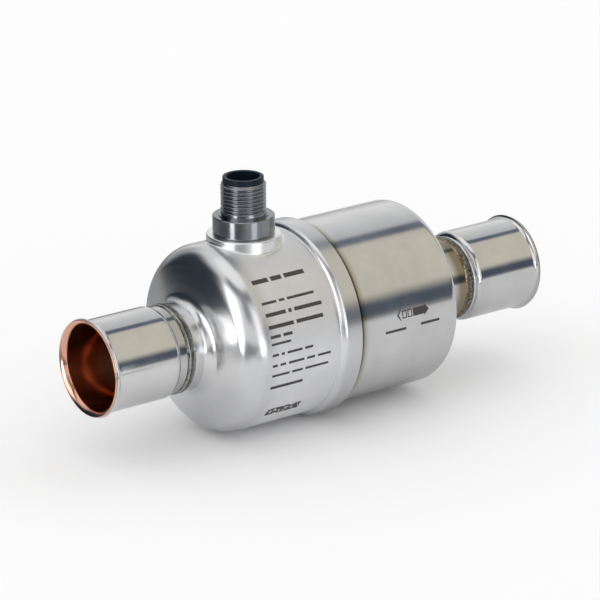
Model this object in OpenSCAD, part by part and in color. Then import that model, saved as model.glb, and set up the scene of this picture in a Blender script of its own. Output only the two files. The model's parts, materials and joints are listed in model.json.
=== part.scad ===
// In-line electronic expansion valve: two drawn stainless shells lapped and welded together,
// two copper-lined brazing sockets, a round connector on top, and a stepper motor inside that
// drives a ported piston through a lead screw.
// The X axis is the flow axis, inlet towards -X. The connector stands up along +Z.
// X = 0 is where the straight wall of the inlet socket starts. All sizes are in millimetres.

/* [Pipe sockets] */
// bore radius of both sockets, for a 22 mm pipe
socket_r = 11.2; // [8:0.05:14]
// length of the straight wall in each socket
socket_depth = 17.5; // [10:0.5:25]
// wall of the copper liner
liner_t = 0.5; // [0.3:0.05:1]
// wall of the steel sleeve around the liner
sleeve_t = 0.6; // [0.4:0.05:1]
// bend radius on the outside of the flared lip
flare_bend_r = 1.3; // [0.8:0.1:3]
// angle through which the lip is flared
flare_angle = 68; // [30:1:85]
// inner bend radius where a sleeve turns in to its stub
shoulder_in_r = 0.8; // [0.4:0.1:2]
// outer bend radius where a stub straightens again
shoulder_out_r = 0.5; // [0.3:0.1:2]
// straight stub of the inlet sleeve up to its weld
inlet_stub_len = 3.4; // [2:0.1:6]
// straight stub of the outlet sleeve up to its weld
outlet_stub_len = 1.4; // [1.4:0.1:6]

/* [Pressure shell] */
// outer radius of the front housing
body_r = 25.1; // [24:0.1:32]
// wall of both drawn shells
shell_t = 1.35; // [1:0.05:1.6]
// spherical radius of the front housing's crown
crown_r = 60; // [45:1:90]
// knuckle radius between the crown and the straight wall
knuckle_r = 7; // [5:0.5:10]
// radius at the root of the inlet neck
inlet_root_r = 3; // [1.5:0.5:4]
// outer radius of the inlet neck
inlet_neck_r = 11.6; // [10.8:0.1:12]
// axial distance from the inlet weld to the crown's pole
inlet_neck_len = 4.9; // [4:0.1:10]
// axial distance from the crown's pole to the joggle
front_len = 33.05; // [32:0.25:50]
// radial rise of the joggle that opens the housing's mouth
joggle_rise = 1.15; // [1:0.05:1.6]
// axial length of the joggle
joggle_len = 2; // [1.6:0.1:3]
// width of the band that laps over the rear can
band_len = 4.3; // [3.6:0.1:8]
// length of the rear can from its rim to its end face
can_len = 36.7; // [36:0.1:60]
// outer corner radius of the rear can
can_corner_r = 3; // [2:0.1:5]
// outer radius of the outlet neck
outlet_neck_r = 11; // [10.4:0.1:12]
// length of the outlet neck up to its weld
outlet_neck_len = 14.5; // [8:0.1:25]
// radius at the root of the outlet neck
outlet_root_r = 1.6; // [1:0.1:3]
// half width of a pipe weld bead
bead_half = 1.35; // [0.8:0.05:1.5]
// height of a pipe weld bead
bead_rise = 0.5; // [0.3:0.05:1]
// leg of the fillet weld at the lap seam
seam_leg = 0.55; // [0.3:0.05:0.8]

/* [Connector] */
// axial distance from the crown's pole to the connector
connector_back = 20.73; // [18:0.1:24]
// radius of the boss formed in the housing under the connector
boss_r = 9.85; // [9:0.05:12]
// height of the boss above the housing
boss_rise = 1.58; // [1.4:0.02:3]
// corner radius on the boss
boss_edge_r = 0.7; // [0.3:0.1:1]
// radius of the connector's flange
flange_r = 8.15; // [7.4:0.05:9]
// height of the flange
flange_h = 4.95; // [3:0.1:7]
// outer radius of the connector thread
thread_r = 6; // [5.8:0.1:6.5]
// length of the connector thread
thread_len = 8.9; // [6:0.1:12]
// chamfer on the end of the thread
thread_chamfer = 0.5; // [0.3:0.05:0.6]
// radius of the shell's bore
shell_bore_r = 4.9; // [4.7:0.05:5.1]
// radius of the spigot that goes through the housing
spigot_r = 6.5; // [6:0.1:7]
// length of the spigot below the flange
spigot_len = 4.2; // [3.5:0.1:5]
// radius of the insert's rim
rim_r = 5.4; // [5.2:0.05:5.5]
// height of the insert's rim above the thread
rim_h = 1.45; // [0.8:0.05:2]
// radius of the contact recess
recess_r = 4.33; // [4.2:0.01:4.5]
// depth of the contact recess
recess_depth = 8; // [6:0.1:9]
// length of the glass seal at the foot of the bore
glass_len = 5.5; // [3:0.1:6]
// radius of a contact pin
pin_r = 0.5; // [0.4:0.05:0.6]
// radius of the circle that the contact pins stand on
pin_circle_r = 3.45; // [3.2:0.05:3.5]
// angle of the first contact pin
pin_turn = 20; // [15:1:30]
// number of contact pins
pin_count = 4; // [4:1:4]
// length of pin below the glass seal
pin_tail = 1.9; // [1.5:0.1:2.2]
// how far the pin tips stay under the rim
pin_tip_drop = 2.6; // [2:0.1:4]

/* [Motor] */
// outer radius of the motor
motor_r = 18; // [17.5:0.1:19]
// wall of the motor case
case_t = 0.8; // [0.6:0.1:1]
// overall length of the motor
motor_len = 28; // [28:0.1:28.5]
// thickness of the flange on each end cap
cap_flange_t = 1.5; // [1:0.1:2]
// depth of each end cap inside the case
cap_spigot_t = 2.8; // [2:0.1:3]
// radius of the bearing boss on each end cap
bearing_boss_r = 8.4; // [7.8:0.1:8.8]
// length of the stator stack
stack_len = 12; // [10:0.5:13]
// radial thickness of the stator yoke
yoke_t = 3.1; // [2.5:0.1:3.5]
// width of a stator pole
pole_w = 3.8; // [3:0.1:4.2]
// number of stator poles
pole_count = 8; // [8:1:8]
// width of a coil
coil_w = 6.8; // [6:0.1:7.2]
// radial depth of a coil
coil_d = 2.6; // [2:0.1:3]
// how far a coil stands out of the stack at each end
coil_over = 1.5; // [1:0.1:1.8]
// radius over the rotor teeth
rotor_r = 9; // [8.5:0.1:9.4]
// depth of the rotor teeth
tooth_d = 0.5; // [0.3:0.05:0.7]
// number of rotor teeth
tooth_count = 50; // [40:2:60]
// length of one rotor cup
cup_len = 4.8; // [4:0.1:5]
// radius of the rotor magnet
magnet_r = 7.6; // [6.5:0.1:8]
// length of the rotor magnet
magnet_len = 1.6; // [1:0.1:2]
// radial air gap between rotor and stator
air_gap = 0.3; // [0.25:0.05:0.5]
// radius of the spindle under the rotor
rotor_seat_r = 3.7; // [3.5:0.1:4]

/* [Bearings] */
// outer radius of a bearing
bearing_r = 6.5; // [6.2:0.1:6.8]
// width of a bearing
bearing_w = 5; // [4:0.1:5.5]
// outer radius of an inner ring
inner_ring_r = 4.1; // [4:0.05:4.3]
// inner radius of an outer ring
outer_ring_r = 5.4; // [5.2:0.05:5.6]
// radius of a ball
ball_r = 1.1; // [0.9:0.05:1.2]
// number of balls in a bearing
ball_count = 7; // [6:1:8]
// thickness of the preload washer
washer_t = 0.4; // [0.3:0.05:0.6]

/* [Valve] */
// travel of the piston
stroke = 12; // [8:0.5:12]
// thickness of the carrier plate
plate_t = 1.8; // [1.5:0.1:2]
// radius of the plate's middle hole
plate_hole_r = 7; // [6.8:0.1:7.4]
// number of flow windows in the plate
window_count = 4; // [3:1:6]
// part of the circle that the flow windows take up
window_share = 0.75; // [0.5:0.05:0.85]
// bore radius of the port sleeve
port_bore_r = 11.5; // [11.2:0.1:11.8]
// wall of the port sleeve
port_wall = 2.1; // [1.8:0.1:2.3]
// thickness of the port sleeve's foot flange
foot_t = 2; // [1.5:0.1:3]
// number of ports
port_count = 4; // [3:1:6]
// length of a port
port_len = 11; // [7:0.5:11]
// width of a port at its wide end
port_w = 8; // [4:0.5:9]
// thickness of the seat ring
seat_t = 3.25; // [2.5:0.05:4]
// gap that the fully open piston leaves to the carrier plate
stop_gap = 0.7; // [0.4:0.1:2]
// thickness of the piston's end wall
piston_wall = 8; // [7:0.1:9]
// width of the piston seal
seal_w = 1.9; // [1.4:0.1:2.4]
// depth of the piston seal
seal_d = 1.2; // [0.8:0.1:1.4]
// outer radius of the lead nut
nut_r = 5.4; // [5:0.1:5.6]
// radius of the lead nut's flange
nut_flange_r = 6.3; // [6:0.1:6.4]
// thickness of the lead nut's flange
nut_flange_t = 1.4; // [1:0.1:1.6]
// outer radius of the lead screw and of the bearing seats
screw_r = 3; // [2.9:0.05:3.1]
// length of lead screw beyond the lead nut with the valve shut
screw_over = 4; // [1:0.5:6]
// radius of a guide pin
guide_r = 1.25; // [1:0.05:1.4]
// distance of the guide pins from the axis
guide_off = 8; // [7.9:0.1:8.1]
// radius of a carrier screw
carrier_screw_r = 1.25; // [1:0.05:1.4]
// radius of a carrier screw's head
head_r = 2.1; // [1.8:0.05:2.2]
// height of a carrier screw's head
head_h = 1.6; // [1.2:0.1:2]
// length of thread that a carrier screw has in the motor's front cap
screw_grip = 3.4; // [2.5:0.1:3.6]
// distance of the carrier screws from the axis
screw_circle_r = 15.85; // [15.8:0.05:15.9]
// section radius of the ring between sleeve and can
o_ring_r = 0.8; // [0.6:0.05:0.9]
// radius of a motor lead
lead_r = 0.55; // [0.4:0.05:0.65]

/* [Fits] */
// radial gap between pieces pressed, bonded or welded together
bond_gap = 0.03; // [0.01:0.01:0.05]
// radial running clearance of the piston in the sleeve
piston_gap = 0.06; // [0.03:0.01:0.1]
// radial clearance of the seal in the sleeve
seal_gap = 0.04; // [0.02:0.01:0.05]
// radial running clearance of the lead nut on the screw
nut_gap = 0.06; // [0.03:0.01:0.1]
// radial running clearance of the guide pins in the piston
guide_gap = 0.08; // [0.03:0.01:0.1]
// radial gap between the guide pins and the wall of the piston's hollow
hollow_gap = 0.35; // [0.3:0.05:0.5]
// radial clearance of a ball in its track
ball_gap = 0.03; // [0.02:0.01:0.05]

/* [Hidden] */
$fn = 96;
// widest angle that one straight step of a drawn arc may span
arc_step = 5;
// overrun of every cutter past the face that it leaves
over = 1;

// pipe sockets
wall_t = liner_t + sleeve_t;
sleeve_r = socket_r + wall_t;
bend_sum = shoulder_in_r + shoulder_out_r + wall_t;
inlet_turn = acos(1 - (sleeve_r - inlet_neck_r) / bend_sum);
outlet_turn = acos(1 - (sleeve_r - outlet_neck_r) / bend_sum);
inlet_joint_x = socket_depth + bend_sum * sin(inlet_turn) + inlet_stub_len;

// front housing
crown_x = inlet_joint_x + inlet_neck_len;
crown_mid_x = crown_x + crown_r;
knuckle_rise = sqrt(pow(crown_r - knuckle_r, 2) - pow(body_r - knuckle_r, 2));
knuckle_x = crown_mid_x - knuckle_rise;
root_rise = sqrt(pow(crown_r + inlet_root_r, 2) - pow(inlet_neck_r + inlet_root_r, 2));
root_x = crown_mid_x - root_rise;
joggle_x = crown_x + front_len;
band_r = body_r + joggle_rise;
band_x = joggle_x + joggle_len;
band_end_x = band_x + band_len;
joggle_turn = 2 * atan(joggle_rise / joggle_len);
joggle_bend = (joggle_len / sin(joggle_turn) - shell_t) / 2;
cavity_r = body_r - shell_t;

// rear can
can_r = band_r - shell_t - bond_gap;
can_x = band_x + plate_t;
can_end_x = can_x + can_len;
can_floor_x = can_end_x - shell_t;
outlet_joint_x = can_end_x + outlet_neck_len;
outlet_bend_len = bend_sum * sin(outlet_turn);
outlet_socket_x = outlet_joint_x + outlet_stub_len + outlet_bend_len + socket_depth;

// connector
connector_x = crown_x + connector_back;
boss_top_z = body_r + boss_rise;
flange_top_z = boss_top_z + flange_h;
thread_top_z = flange_top_z + thread_len;
rim_top_z = thread_top_z + rim_h;
spigot_z = boss_top_z - spigot_len;
glass_top_z = spigot_z + glass_len;
pin_foot_z = spigot_z - pin_tail;
pin_tip_z = rim_top_z - pin_tip_drop;

// motor, from the carrier plate back towards the inlet
motor_x1 = band_x;
motor_x0 = motor_x1 - motor_len;
case_x0 = motor_x0 + cap_flange_t;
case_x1 = motor_x1 - cap_flange_t;
case_in_r = motor_r - case_t;
stator_r = case_in_r - bond_gap;
stack_mid_x = (motor_x0 + motor_x1) / 2;
stack_x0 = stack_mid_x - stack_len / 2;
pole_tip_r = rotor_r + air_gap;
coil_r0 = sqrt(pow(stator_r - yoke_t - bond_gap, 2) - pow(coil_w / 2, 2)) - coil_d;
front_bearing_x = motor_x1 - bearing_w - washer_t;
rear_bearing_x = motor_x0 + 2 * washer_t + cap_flange_t / 2;
ball_circle_r = (inner_ring_r + outer_ring_r) / 2;
bearing_seat_r = bearing_r + bond_gap;
bearing_lip_r = outer_ring_r - bond_gap;
rotor_x0 = stack_mid_x - magnet_len / 2 - cup_len;

// leads, run over the case to the space between the rear cap and the coils
lead_drop_x = (case_x0 + cap_spigot_t + stack_x0 - coil_over) / 2;
lead_run_z = motor_r + 2.4 * lead_r;
lead_end_z = stator_r - yoke_t;
grommet_l = 3.2 * lead_r;
grommet_w = 2 * pin_circle_r + 3 * lead_r;
grommet_top_z = motor_r + lead_r;
grommet_foot_z = case_in_r - 1.6 * lead_r;

// valve
plate_x1 = band_x + plate_t;
foot_x1 = plate_x1 + foot_t;
port_r = port_bore_r + port_wall;
foot_r = screw_circle_r + head_r;
seat_x = can_floor_x - seat_t;
seat_bore_r = outlet_neck_r - shell_t;
piston_r = port_bore_r - piston_gap;
piston_x = plate_x1 + stop_gap + stroke;
hollow_x = piston_x + piston_wall;
piston_hollow_r = guide_off + guide_r + hollow_gap;
seal_x = piston_x + (piston_wall - seal_w) / 2;
port_x1 = seat_x - 1.2;
screw_end_x = hollow_x + screw_over;
guide_end_x = hollow_x + 2;
window_in_r = foot_r + 0.6;
window_out_r = cavity_r - 1.2;
carrier_screw_x = motor_x1 - screw_grip;
carrier_screw_len = foot_x1 - carrier_screw_x;
o_ring_x = can_floor_x - o_ring_r - bond_gap;
o_ring_seat_r = port_r - 1.6 * o_ring_r;
o_ring_mid_r = o_ring_seat_r + o_ring_r + bond_gap;

steel = [0.78, 0.79, 0.8];
bright_steel = [0.88, 0.88, 0.89];
copper = [0.78, 0.45, 0.32];
bead_steel = [0.6, 0.55, 0.45];
dark_plastic = [0.08, 0.08, 0.1];
gold = [0.85, 0.7, 0.35];
brass_tone = [0.75, 0.6, 0.3];
lamination = [0.45, 0.46, 0.48];
magnet_tone = [0.25, 0.25, 0.27];
glass_tone = [0.45, 0.55, 0.5];
lead_tone = [0.75, 0.2, 0.15];
polymer = [0.93, 0.92, 0.88];

// points [radius, x] along an arc about a centre, from one angle to another
function arc(centre, radius, from, to) =
    let (steps = max(1, ceil(abs(to - from) / arc_step)))
    [for (i = [0 : steps])
        let (a = from + (to - from) * i / steps)
        [centre[0] + radius * cos(a), centre[1] + radius * sin(a)]];

function backwards(points) = [for (i = [len(points) - 1 : -1 : 0]) points[i]];

// one face of a socket wall, at a depth measured out from the bore, lip first
function socket_curve(depth, turn, stub_len) =
    let (flare_mid = [sleeve_r + flare_bend_r, 0])
    let (flare_face_r = flare_bend_r + wall_t - depth)
    let (first_mid = [socket_r - shoulder_in_r, socket_depth])
    let (last_mid = first_mid + bend_sum * [cos(turn), sin(turn)])
    let (last_r = shoulder_out_r + wall_t - depth)
    let (stub_r = last_mid[0] - last_r)
    concat(
        arc(flare_mid, flare_face_r, 180 + flare_angle, 180),
        arc(first_mid, shoulder_in_r + depth, 0, turn),
        arc(last_mid, last_r, 180 + turn, 180),
        [[stub_r, last_mid[1] + stub_len]]
    );

// one face of the front housing's wall, at a depth measured in from the outside
function front_curve(depth) =
    let (root_mid = [inlet_neck_r + inlet_root_r, root_x])
    let (knuckle_mid = [body_r - knuckle_r, knuckle_x])
    let (root_end = atan2(root_rise, inlet_neck_r + inlet_root_r))
    let (crown_end = atan2(knuckle_rise, body_r - knuckle_r))
    let (band_bend_r = joggle_bend + shell_t)
    concat(
        [[inlet_neck_r - depth, inlet_joint_x]],
        arc(root_mid, inlet_root_r + depth, 180, 180 - root_end),
        arc([0, crown_mid_x], crown_r - depth, -root_end, -crown_end),
        arc(knuckle_mid, knuckle_r - depth, -crown_end, 0),
        arc([body_r + joggle_bend, joggle_x], joggle_bend + depth, 180, 180 - joggle_turn),
        arc([band_r - band_bend_r, band_x], band_bend_r - depth, -joggle_turn, 0),
        [[band_r - depth, band_end_x]]
    );

// one face of the rear can's wall, at a depth measured in from the outside
function can_curve(depth) =
    let (corner_mid = [can_r - can_corner_r, can_end_x - can_corner_r])
    let (root_mid = [outlet_neck_r + outlet_root_r, can_end_x + outlet_root_r])
    concat(
        [[can_r - depth, can_x]],
        arc(corner_mid, can_corner_r - depth, 0, 90),
        arc(root_mid, outlet_root_r + depth, 270, 180),
        [[outlet_neck_r - depth, outlet_joint_x]]
    );

// outline of a toothed rotor cup
function tooth_ring() =
    let (pitch = 360 / tooth_count)
    [for (i = [0 : tooth_count - 1])
        each [
            for (corner = [[rotor_r, 0.05], [rotor_r, 0.45], [rotor_r - tooth_d, 0.55],
                           [rotor_r - tooth_d, 0.95]])
                let (a = pitch * (i + corner[1]))
                corner[0] * [cos(a), sin(a)]
        ]];

// turns a flat outline of [radius, x] about the flow axis
module turned() {
    rotate([0, 90, 0])
        rotate_extrude()
            children();
}

// a plain ring or disc about the flow axis
module ring(x0, x1, r_out, r_in = 0) {
    turned()
        translate([r_in, x0])
            square([r_out - r_in, x1 - x0]);
}

// a flat outline in the YZ plane, drawn out along the flow axis
module along_x(x0, x1) {
    translate([x0, 0, 0])
        rotate([90, 0, 90])
            linear_extrude(x1 - x0)
                children();
}

// copies spread evenly about the flow axis
module around(count, first = 0) {
    for (i = [0 : count - 1])
        rotate([first + 360 * i / count, 0, 0])
            children();
}

// copies standing on the contact pins' circle
module at_pins() {
    translate([connector_x, 0, 0])
        for (i = [0 : pin_count - 1])
            rotate(pin_turn + 360 * i / pin_count)
                translate([pin_circle_r, 0, 0])
                    children();
}

module socket_wall(depth_in, depth_out, turn, stub_len) {
    turned()
        polygon(concat(
            socket_curve(depth_in, turn, stub_len),
            backwards(socket_curve(depth_out, turn, stub_len))
        ));
}

module on_outlet() {
    translate([outlet_socket_x, 0, 0])
        mirror([1, 0, 0])
            children();
}

module inlet_sleeve() {
    color(bright_steel)
        socket_wall(liner_t + bond_gap, wall_t, inlet_turn, inlet_stub_len);
}

module inlet_liner() {
    color(copper)
        socket_wall(0, liner_t, inlet_turn, inlet_stub_len);
}

module outlet_sleeve() {
    color(bright_steel)
        on_outlet()
            socket_wall(liner_t + bond_gap, wall_t, outlet_turn, outlet_stub_len);
}

module outlet_liner() {
    color(copper)
        on_outlet()
            socket_wall(0, liner_t, outlet_turn, outlet_stub_len);
}

// a bead with a rounded back that lies over a butt joint
module weld_bead(x, joint_r) {
    foot_bead_r = joint_r + bond_gap;
    back_r = (bead_half * bead_half + bead_rise * bead_rise) / (2 * bead_rise);
    spread = asin(bead_half / back_r);
    turned()
        polygon(arc([foot_bead_r + bead_rise - back_r, x], back_r, -spread, spread));
}

module inlet_weld() {
    color(bead_steel)
        weld_bead(inlet_joint_x, inlet_neck_r);
}

module outlet_weld() {
    color(bead_steel)
        weld_bead(outlet_joint_x, outlet_neck_r);
}

module seam_weld() {
    color(bead_steel)
        turned()
            polygon([
                [can_r + bond_gap, band_end_x],
                [can_r + bond_gap + seam_leg, band_end_x],
                [can_r + bond_gap, band_end_x + seam_leg]
            ]);
}

// the boss, or the hollow under it when its walls are drawn in by a depth
module boss(depth) {
    translate([connector_x, 0, 0])
        rotate_extrude()
            polygon(concat(
                [[0, cavity_r / 2], [boss_r - depth, cavity_r / 2]],
                arc([boss_r - depth - boss_edge_r, boss_top_z - depth - boss_edge_r],
                    boss_edge_r, 0, 90),
                [[0, boss_top_z - depth]]
            ));
}

module front_housing() {
    color(steel)
        difference() {
            union() {
                turned()
                    polygon(concat(front_curve(0), backwards(front_curve(shell_t))));
                difference() {
                    boss(0);
                    ring(connector_x - 2 * boss_r, connector_x + 2 * boss_r, cavity_r + shell_t / 2);
                }
            }
            boss(shell_t);
            translate([connector_x, 0, spigot_z])
                cylinder(r = spigot_r + bond_gap, h = spigot_len + over);
        }
}

module rear_can() {
    color(bright_steel)
        turned()
            polygon(concat(can_curve(0), backwards(can_curve(shell_t))));
}

module connector_shell() {
    color(steel)
        translate([connector_x, 0, 0])
            rotate_extrude()
                polygon([
                    [shell_bore_r, spigot_z],
                    [spigot_r, spigot_z],
                    [spigot_r, boss_top_z],
                    [flange_r, boss_top_z],
                    [flange_r, flange_top_z],
                    [thread_r, flange_top_z],
                    [thread_r, thread_top_z - thread_chamfer],
                    [thread_r - thread_chamfer, thread_top_z],
                    [shell_bore_r, thread_top_z]
                ]);
}

module connector_insert() {
    plug_r = shell_bore_r - bond_gap;
    color(dark_plastic)
        difference() {
            translate([connector_x, 0, 0])
                rotate_extrude()
                    polygon([
                        [0, glass_top_z],
                        [plug_r, glass_top_z],
                        [plug_r, thread_top_z],
                        [rim_r, thread_top_z],
                        [rim_r, rim_top_z],
                        [recess_r, rim_top_z],
                        [recess_r, rim_top_z - recess_depth],
                        [0, rim_top_z - recess_depth]
                    ]);
            at_pins()
                translate([0, 0, glass_top_z - over])
                    cylinder(r = pin_r + bond_gap, h = rim_top_z - glass_top_z);
        }
}

module contact_pins() {
    color(gold)
        at_pins()
            translate([0, 0, pin_foot_z])
                cylinder(r = pin_r, h = pin_tip_z - pin_foot_z);
}

module glass_seal() {
    color(glass_tone)
        difference() {
            translate([connector_x, 0, spigot_z])
                cylinder(r = shell_bore_r - bond_gap, h = glass_len);
            at_pins()
                translate([0, 0, spigot_z - over])
                    cylinder(r = pin_r + bond_gap, h = glass_len + 2 * over);
        }
}

// one lead, from the foot of a pin, along the case and down into the motor
module lead(x, y) {
    translate([x, y, lead_run_z])
        cylinder(r = lead_r, h = pin_foot_z - lead_run_z);
    translate([x, y, lead_run_z])
        sphere(r = lead_r);
    translate([lead_drop_x, y, lead_run_z])
        rotate([0, 90, 0])
            cylinder(r = lead_r, h = x - lead_drop_x);
    translate([lead_drop_x, y, lead_run_z])
        sphere(r = lead_r);
    translate([lead_drop_x, y, lead_end_z])
        cylinder(r = lead_r, h = lead_run_z - lead_end_z);
}

module motor_leads() {
    color(lead_tone)
        for (i = [0 : pin_count - 1]) {
            a = pin_turn + 360 * i / pin_count;
            lead(connector_x + pin_circle_r * cos(a), pin_circle_r * sin(a));
        }
}

// the block of the grommet, or the opening for it when it is grown by a gap
module grommet_block(gap) {
    translate([lead_drop_x - grommet_l / 2 - gap, -grommet_w / 2 - gap, grommet_foot_z])
        cube([grommet_l + 2 * gap, grommet_w + 2 * gap, grommet_top_z - grommet_foot_z]);
}

module lead_grommet() {
    color(dark_plastic)
        difference() {
            grommet_block(0);
            for (i = [0 : pin_count - 1])
                translate([lead_drop_x, pin_circle_r * sin(pin_turn + 360 * i / pin_count), 0])
                    cylinder(r = lead_r + bond_gap, h = motor_r + over);
        }
}

module motor_case() {
    color(steel)
        difference() {
            ring(case_x0, case_x1, motor_r, case_in_r);
            grommet_block(bond_gap);
        }
}

module rear_cap() {
    color(lamination)
        difference() {
            union() {
                ring(motor_x0, case_x0, motor_r);
                ring(case_x0, case_x0 + cap_spigot_t, case_in_r - bond_gap);
                ring(case_x0, rear_bearing_x + bearing_w, bearing_boss_r);
            }
            ring(rear_bearing_x - washer_t, rear_bearing_x + bearing_w + over, bearing_seat_r);
            ring(motor_x0 - over, rear_bearing_x, bearing_lip_r);
        }
}

module front_cap() {
    color(lamination)
        difference() {
            union() {
                ring(case_x1, motor_x1, motor_r);
                ring(case_x1 - cap_spigot_t, case_x1, case_in_r - bond_gap);
                ring(front_bearing_x, case_x1, bearing_boss_r);
            }
            ring(front_bearing_x - over, front_bearing_x + bearing_w, bearing_seat_r);
            ring(front_bearing_x, motor_x1 + over, bearing_lip_r);
            carrier_screw_bores();
        }
}

module stator_stack() {
    color(lamination)
        along_x(stack_x0, stack_x0 + stack_len)
            difference() {
                union() {
                    difference() {
                        circle(r = stator_r);
                        circle(r = stator_r - yoke_t);
                    }
                    for (i = [0 : pole_count - 1])
                        rotate(360 * i / pole_count)
                            translate([0, -pole_w / 2])
                                square([stator_r - yoke_t / 2, pole_w]);
                }
                circle(r = pole_tip_r);
            }
}

module stator_coils() {
    coil_hole_w = pole_w + 2 * bond_gap;
    coil_hole_l = stack_len + 2 * bond_gap;
    coil_len = stack_len + 2 * coil_over;
    color(copper)
        around(pole_count, 90)
            translate([stack_mid_x, 0, coil_r0])
                linear_extrude(coil_d)
                    difference() {
                        square([coil_len, coil_w], center = true);
                        square([coil_hole_l, coil_hole_w], center = true);
                    }
}

module rotor_cup(x0) {
    along_x(x0, x0 + cup_len)
        difference() {
            polygon(tooth_ring());
            circle(r = rotor_seat_r + bond_gap);
        }
}

module rotor_cup_rear() {
    color(lamination)
        rotor_cup(rotor_x0);
}

module rotor_cup_front() {
    color(lamination)
        rotate([180 / tooth_count, 0, 0])
            rotor_cup(rotor_x0 + cup_len + magnet_len);
}

module rotor_magnet() {
    color(magnet_tone)
        ring(rotor_x0 + cup_len, rotor_x0 + cup_len + magnet_len, magnet_r,
             rotor_seat_r + bond_gap);
}

module spindle() {
    color(bright_steel)
        turned()
            polygon([
                [0, rear_bearing_x],
                [screw_r, rear_bearing_x],
                [screw_r, rear_bearing_x + bearing_w],
                [rotor_seat_r, rear_bearing_x + bearing_w],
                [rotor_seat_r, front_bearing_x],
                [screw_r, front_bearing_x],
                [screw_r, screw_end_x - screw_r / 4],
                [screw_r * 3 / 4, screw_end_x],
                [0, screw_end_x]
            ]);
}

// a bearing ring with the ball track cut into it
module bearing_ring(x0, r_out, r_in) {
    turned()
        difference() {
            translate([r_in, x0])
                square([r_out - r_in, bearing_w]);
            translate([ball_circle_r, x0 + bearing_w / 2])
                circle(r = ball_r + ball_gap);
        }
}

module bearing_balls(x0) {
    around(ball_count)
        translate([x0 + bearing_w / 2, 0, ball_circle_r])
            sphere(r = ball_r);
}

module rear_bearing_outer() {
    color(steel)
        bearing_ring(rear_bearing_x, bearing_r, outer_ring_r);
}

module rear_bearing_inner() {
    color(steel)
        bearing_ring(rear_bearing_x, inner_ring_r, screw_r + bond_gap);
}

module rear_bearing_balls() {
    color(bright_steel)
        bearing_balls(rear_bearing_x);
}

module front_bearing_outer() {
    color(steel)
        bearing_ring(front_bearing_x, bearing_r, outer_ring_r);
}

module front_bearing_inner() {
    color(steel)
        bearing_ring(front_bearing_x, inner_ring_r, screw_r + bond_gap);
}

module front_bearing_balls() {
    color(bright_steel)
        bearing_balls(front_bearing_x);
}

module preload_washer() {
    color(steel)
        ring(rear_bearing_x - washer_t, rear_bearing_x, bearing_r, outer_ring_r);
}

// clearance for the carrier screws through the foot, the plate and the motor's front cap
module carrier_screw_bores() {
    around(4, 45)
        translate([carrier_screw_x, 0, screw_circle_r])
            rotate([0, 90, 0])
                cylinder(r = carrier_screw_r + bond_gap, h = carrier_screw_len + over);
}

module carrier_plate() {
    window_turn = 360 * window_share / window_count;
    color(steel)
        difference() {
            ring(band_x, plate_x1, can_r, plate_hole_r);
            around(window_count, -window_turn / 2)
                rotate([0, 90, 0])
                    rotate_extrude(angle = window_turn)
                        translate([window_in_r, band_x - over])
                            square([window_out_r - window_in_r, plate_t + 2 * over]);
            carrier_screw_bores();
            guide_bores(bond_gap);
        }
}

module carrier_screws() {
    color(steel)
        around(4, 45)
            translate([carrier_screw_x, 0, screw_circle_r])
                rotate([0, 90, 0])
                    difference() {
                        union() {
                            cylinder(r = carrier_screw_r, h = carrier_screw_len);
                            translate([0, 0, carrier_screw_len])
                                cylinder(r = head_r, h = head_h);
                        }
                        translate([0, 0, carrier_screw_len + head_h / 2])
                            cylinder(r = head_r / 2, h = head_h, $fn = 6);
                    }
}

// the two guide pins grown by a gap, to cut the holes that they run in
module guide_bores(gap) {
    for (side = [-1, 1])
        translate([band_x - over, side * guide_off, 0])
            rotate([0, 90, 0])
                cylinder(r = guide_r + gap, h = guide_end_x - band_x + 2 * over);
}

module guide_pins() {
    color(bright_steel)
        for (side = [-1, 1])
            translate([band_x, side * guide_off, 0])
                rotate([0, 90, 0])
                    cylinder(r = guide_r, h = guide_end_x - band_x);
}

// one tapering port, cut outwards through the sleeve's wall
module port() {
    linear_extrude(2 * port_r)
        polygon([
            [port_x1 - port_len, -port_w / 2],
            [port_x1, -port_w / 10],
            [port_x1, port_w / 10],
            [port_x1 - port_len, port_w / 2]
        ]);
}

module port_sleeve() {
    color(steel)
        difference() {
            union() {
                ring(plate_x1, foot_x1, foot_r, port_bore_r);
                ring(plate_x1, can_floor_x, port_r, port_bore_r);
            }
            around(port_count, 45)
                port();
            carrier_screw_bores();
            around(4, 45)
                translate([foot_x1, 0, screw_circle_r])
                    rotate([0, 90, 0])
                        cylinder(r = head_r + 2 * bond_gap, h = head_h + over);
            ring(can_floor_x - 2 * o_ring_r - 2 * bond_gap, can_floor_x + over, 2 * port_r,
                 o_ring_seat_r);
        }
}

module seat_ring() {
    color(polymer)
        ring(seat_x, can_floor_x, port_bore_r - bond_gap, seat_bore_r);
}

module sleeve_ring() {
    color(dark_plastic)
        turned()
            translate([o_ring_mid_r, o_ring_x])
                circle(r = o_ring_r);
}

module piston() {
    color(brass_tone)
        difference() {
            ring(piston_x, seat_x, piston_r, nut_r + bond_gap);
            ring(hollow_x, seat_x + over, piston_hollow_r);
            ring(seal_x - bond_gap, seal_x + seal_w + bond_gap, 2 * piston_r,
                 piston_r - seal_d);
            guide_bores(guide_gap);
            for (side = [0, 180])
                rotate([side, 0, 0])
                    translate([piston_x - over, 0, guide_off])
                        rotate([0, 90, 0])
                            cylinder(r = guide_r, h = piston_wall + 2 * over);
        }
}

module piston_seal() {
    color(polymer)
        ring(seal_x, seal_x + seal_w, port_bore_r - seal_gap, piston_r - seal_d + bond_gap);
}

module lead_nut() {
    color(gold)
        difference() {
            union() {
                ring(piston_x - nut_flange_t, piston_x, nut_flange_r);
                ring(piston_x, hollow_x, nut_r);
            }
            ring(piston_x - nut_flange_t - over, hollow_x + over, screw_r + nut_gap);
        }
}

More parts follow.
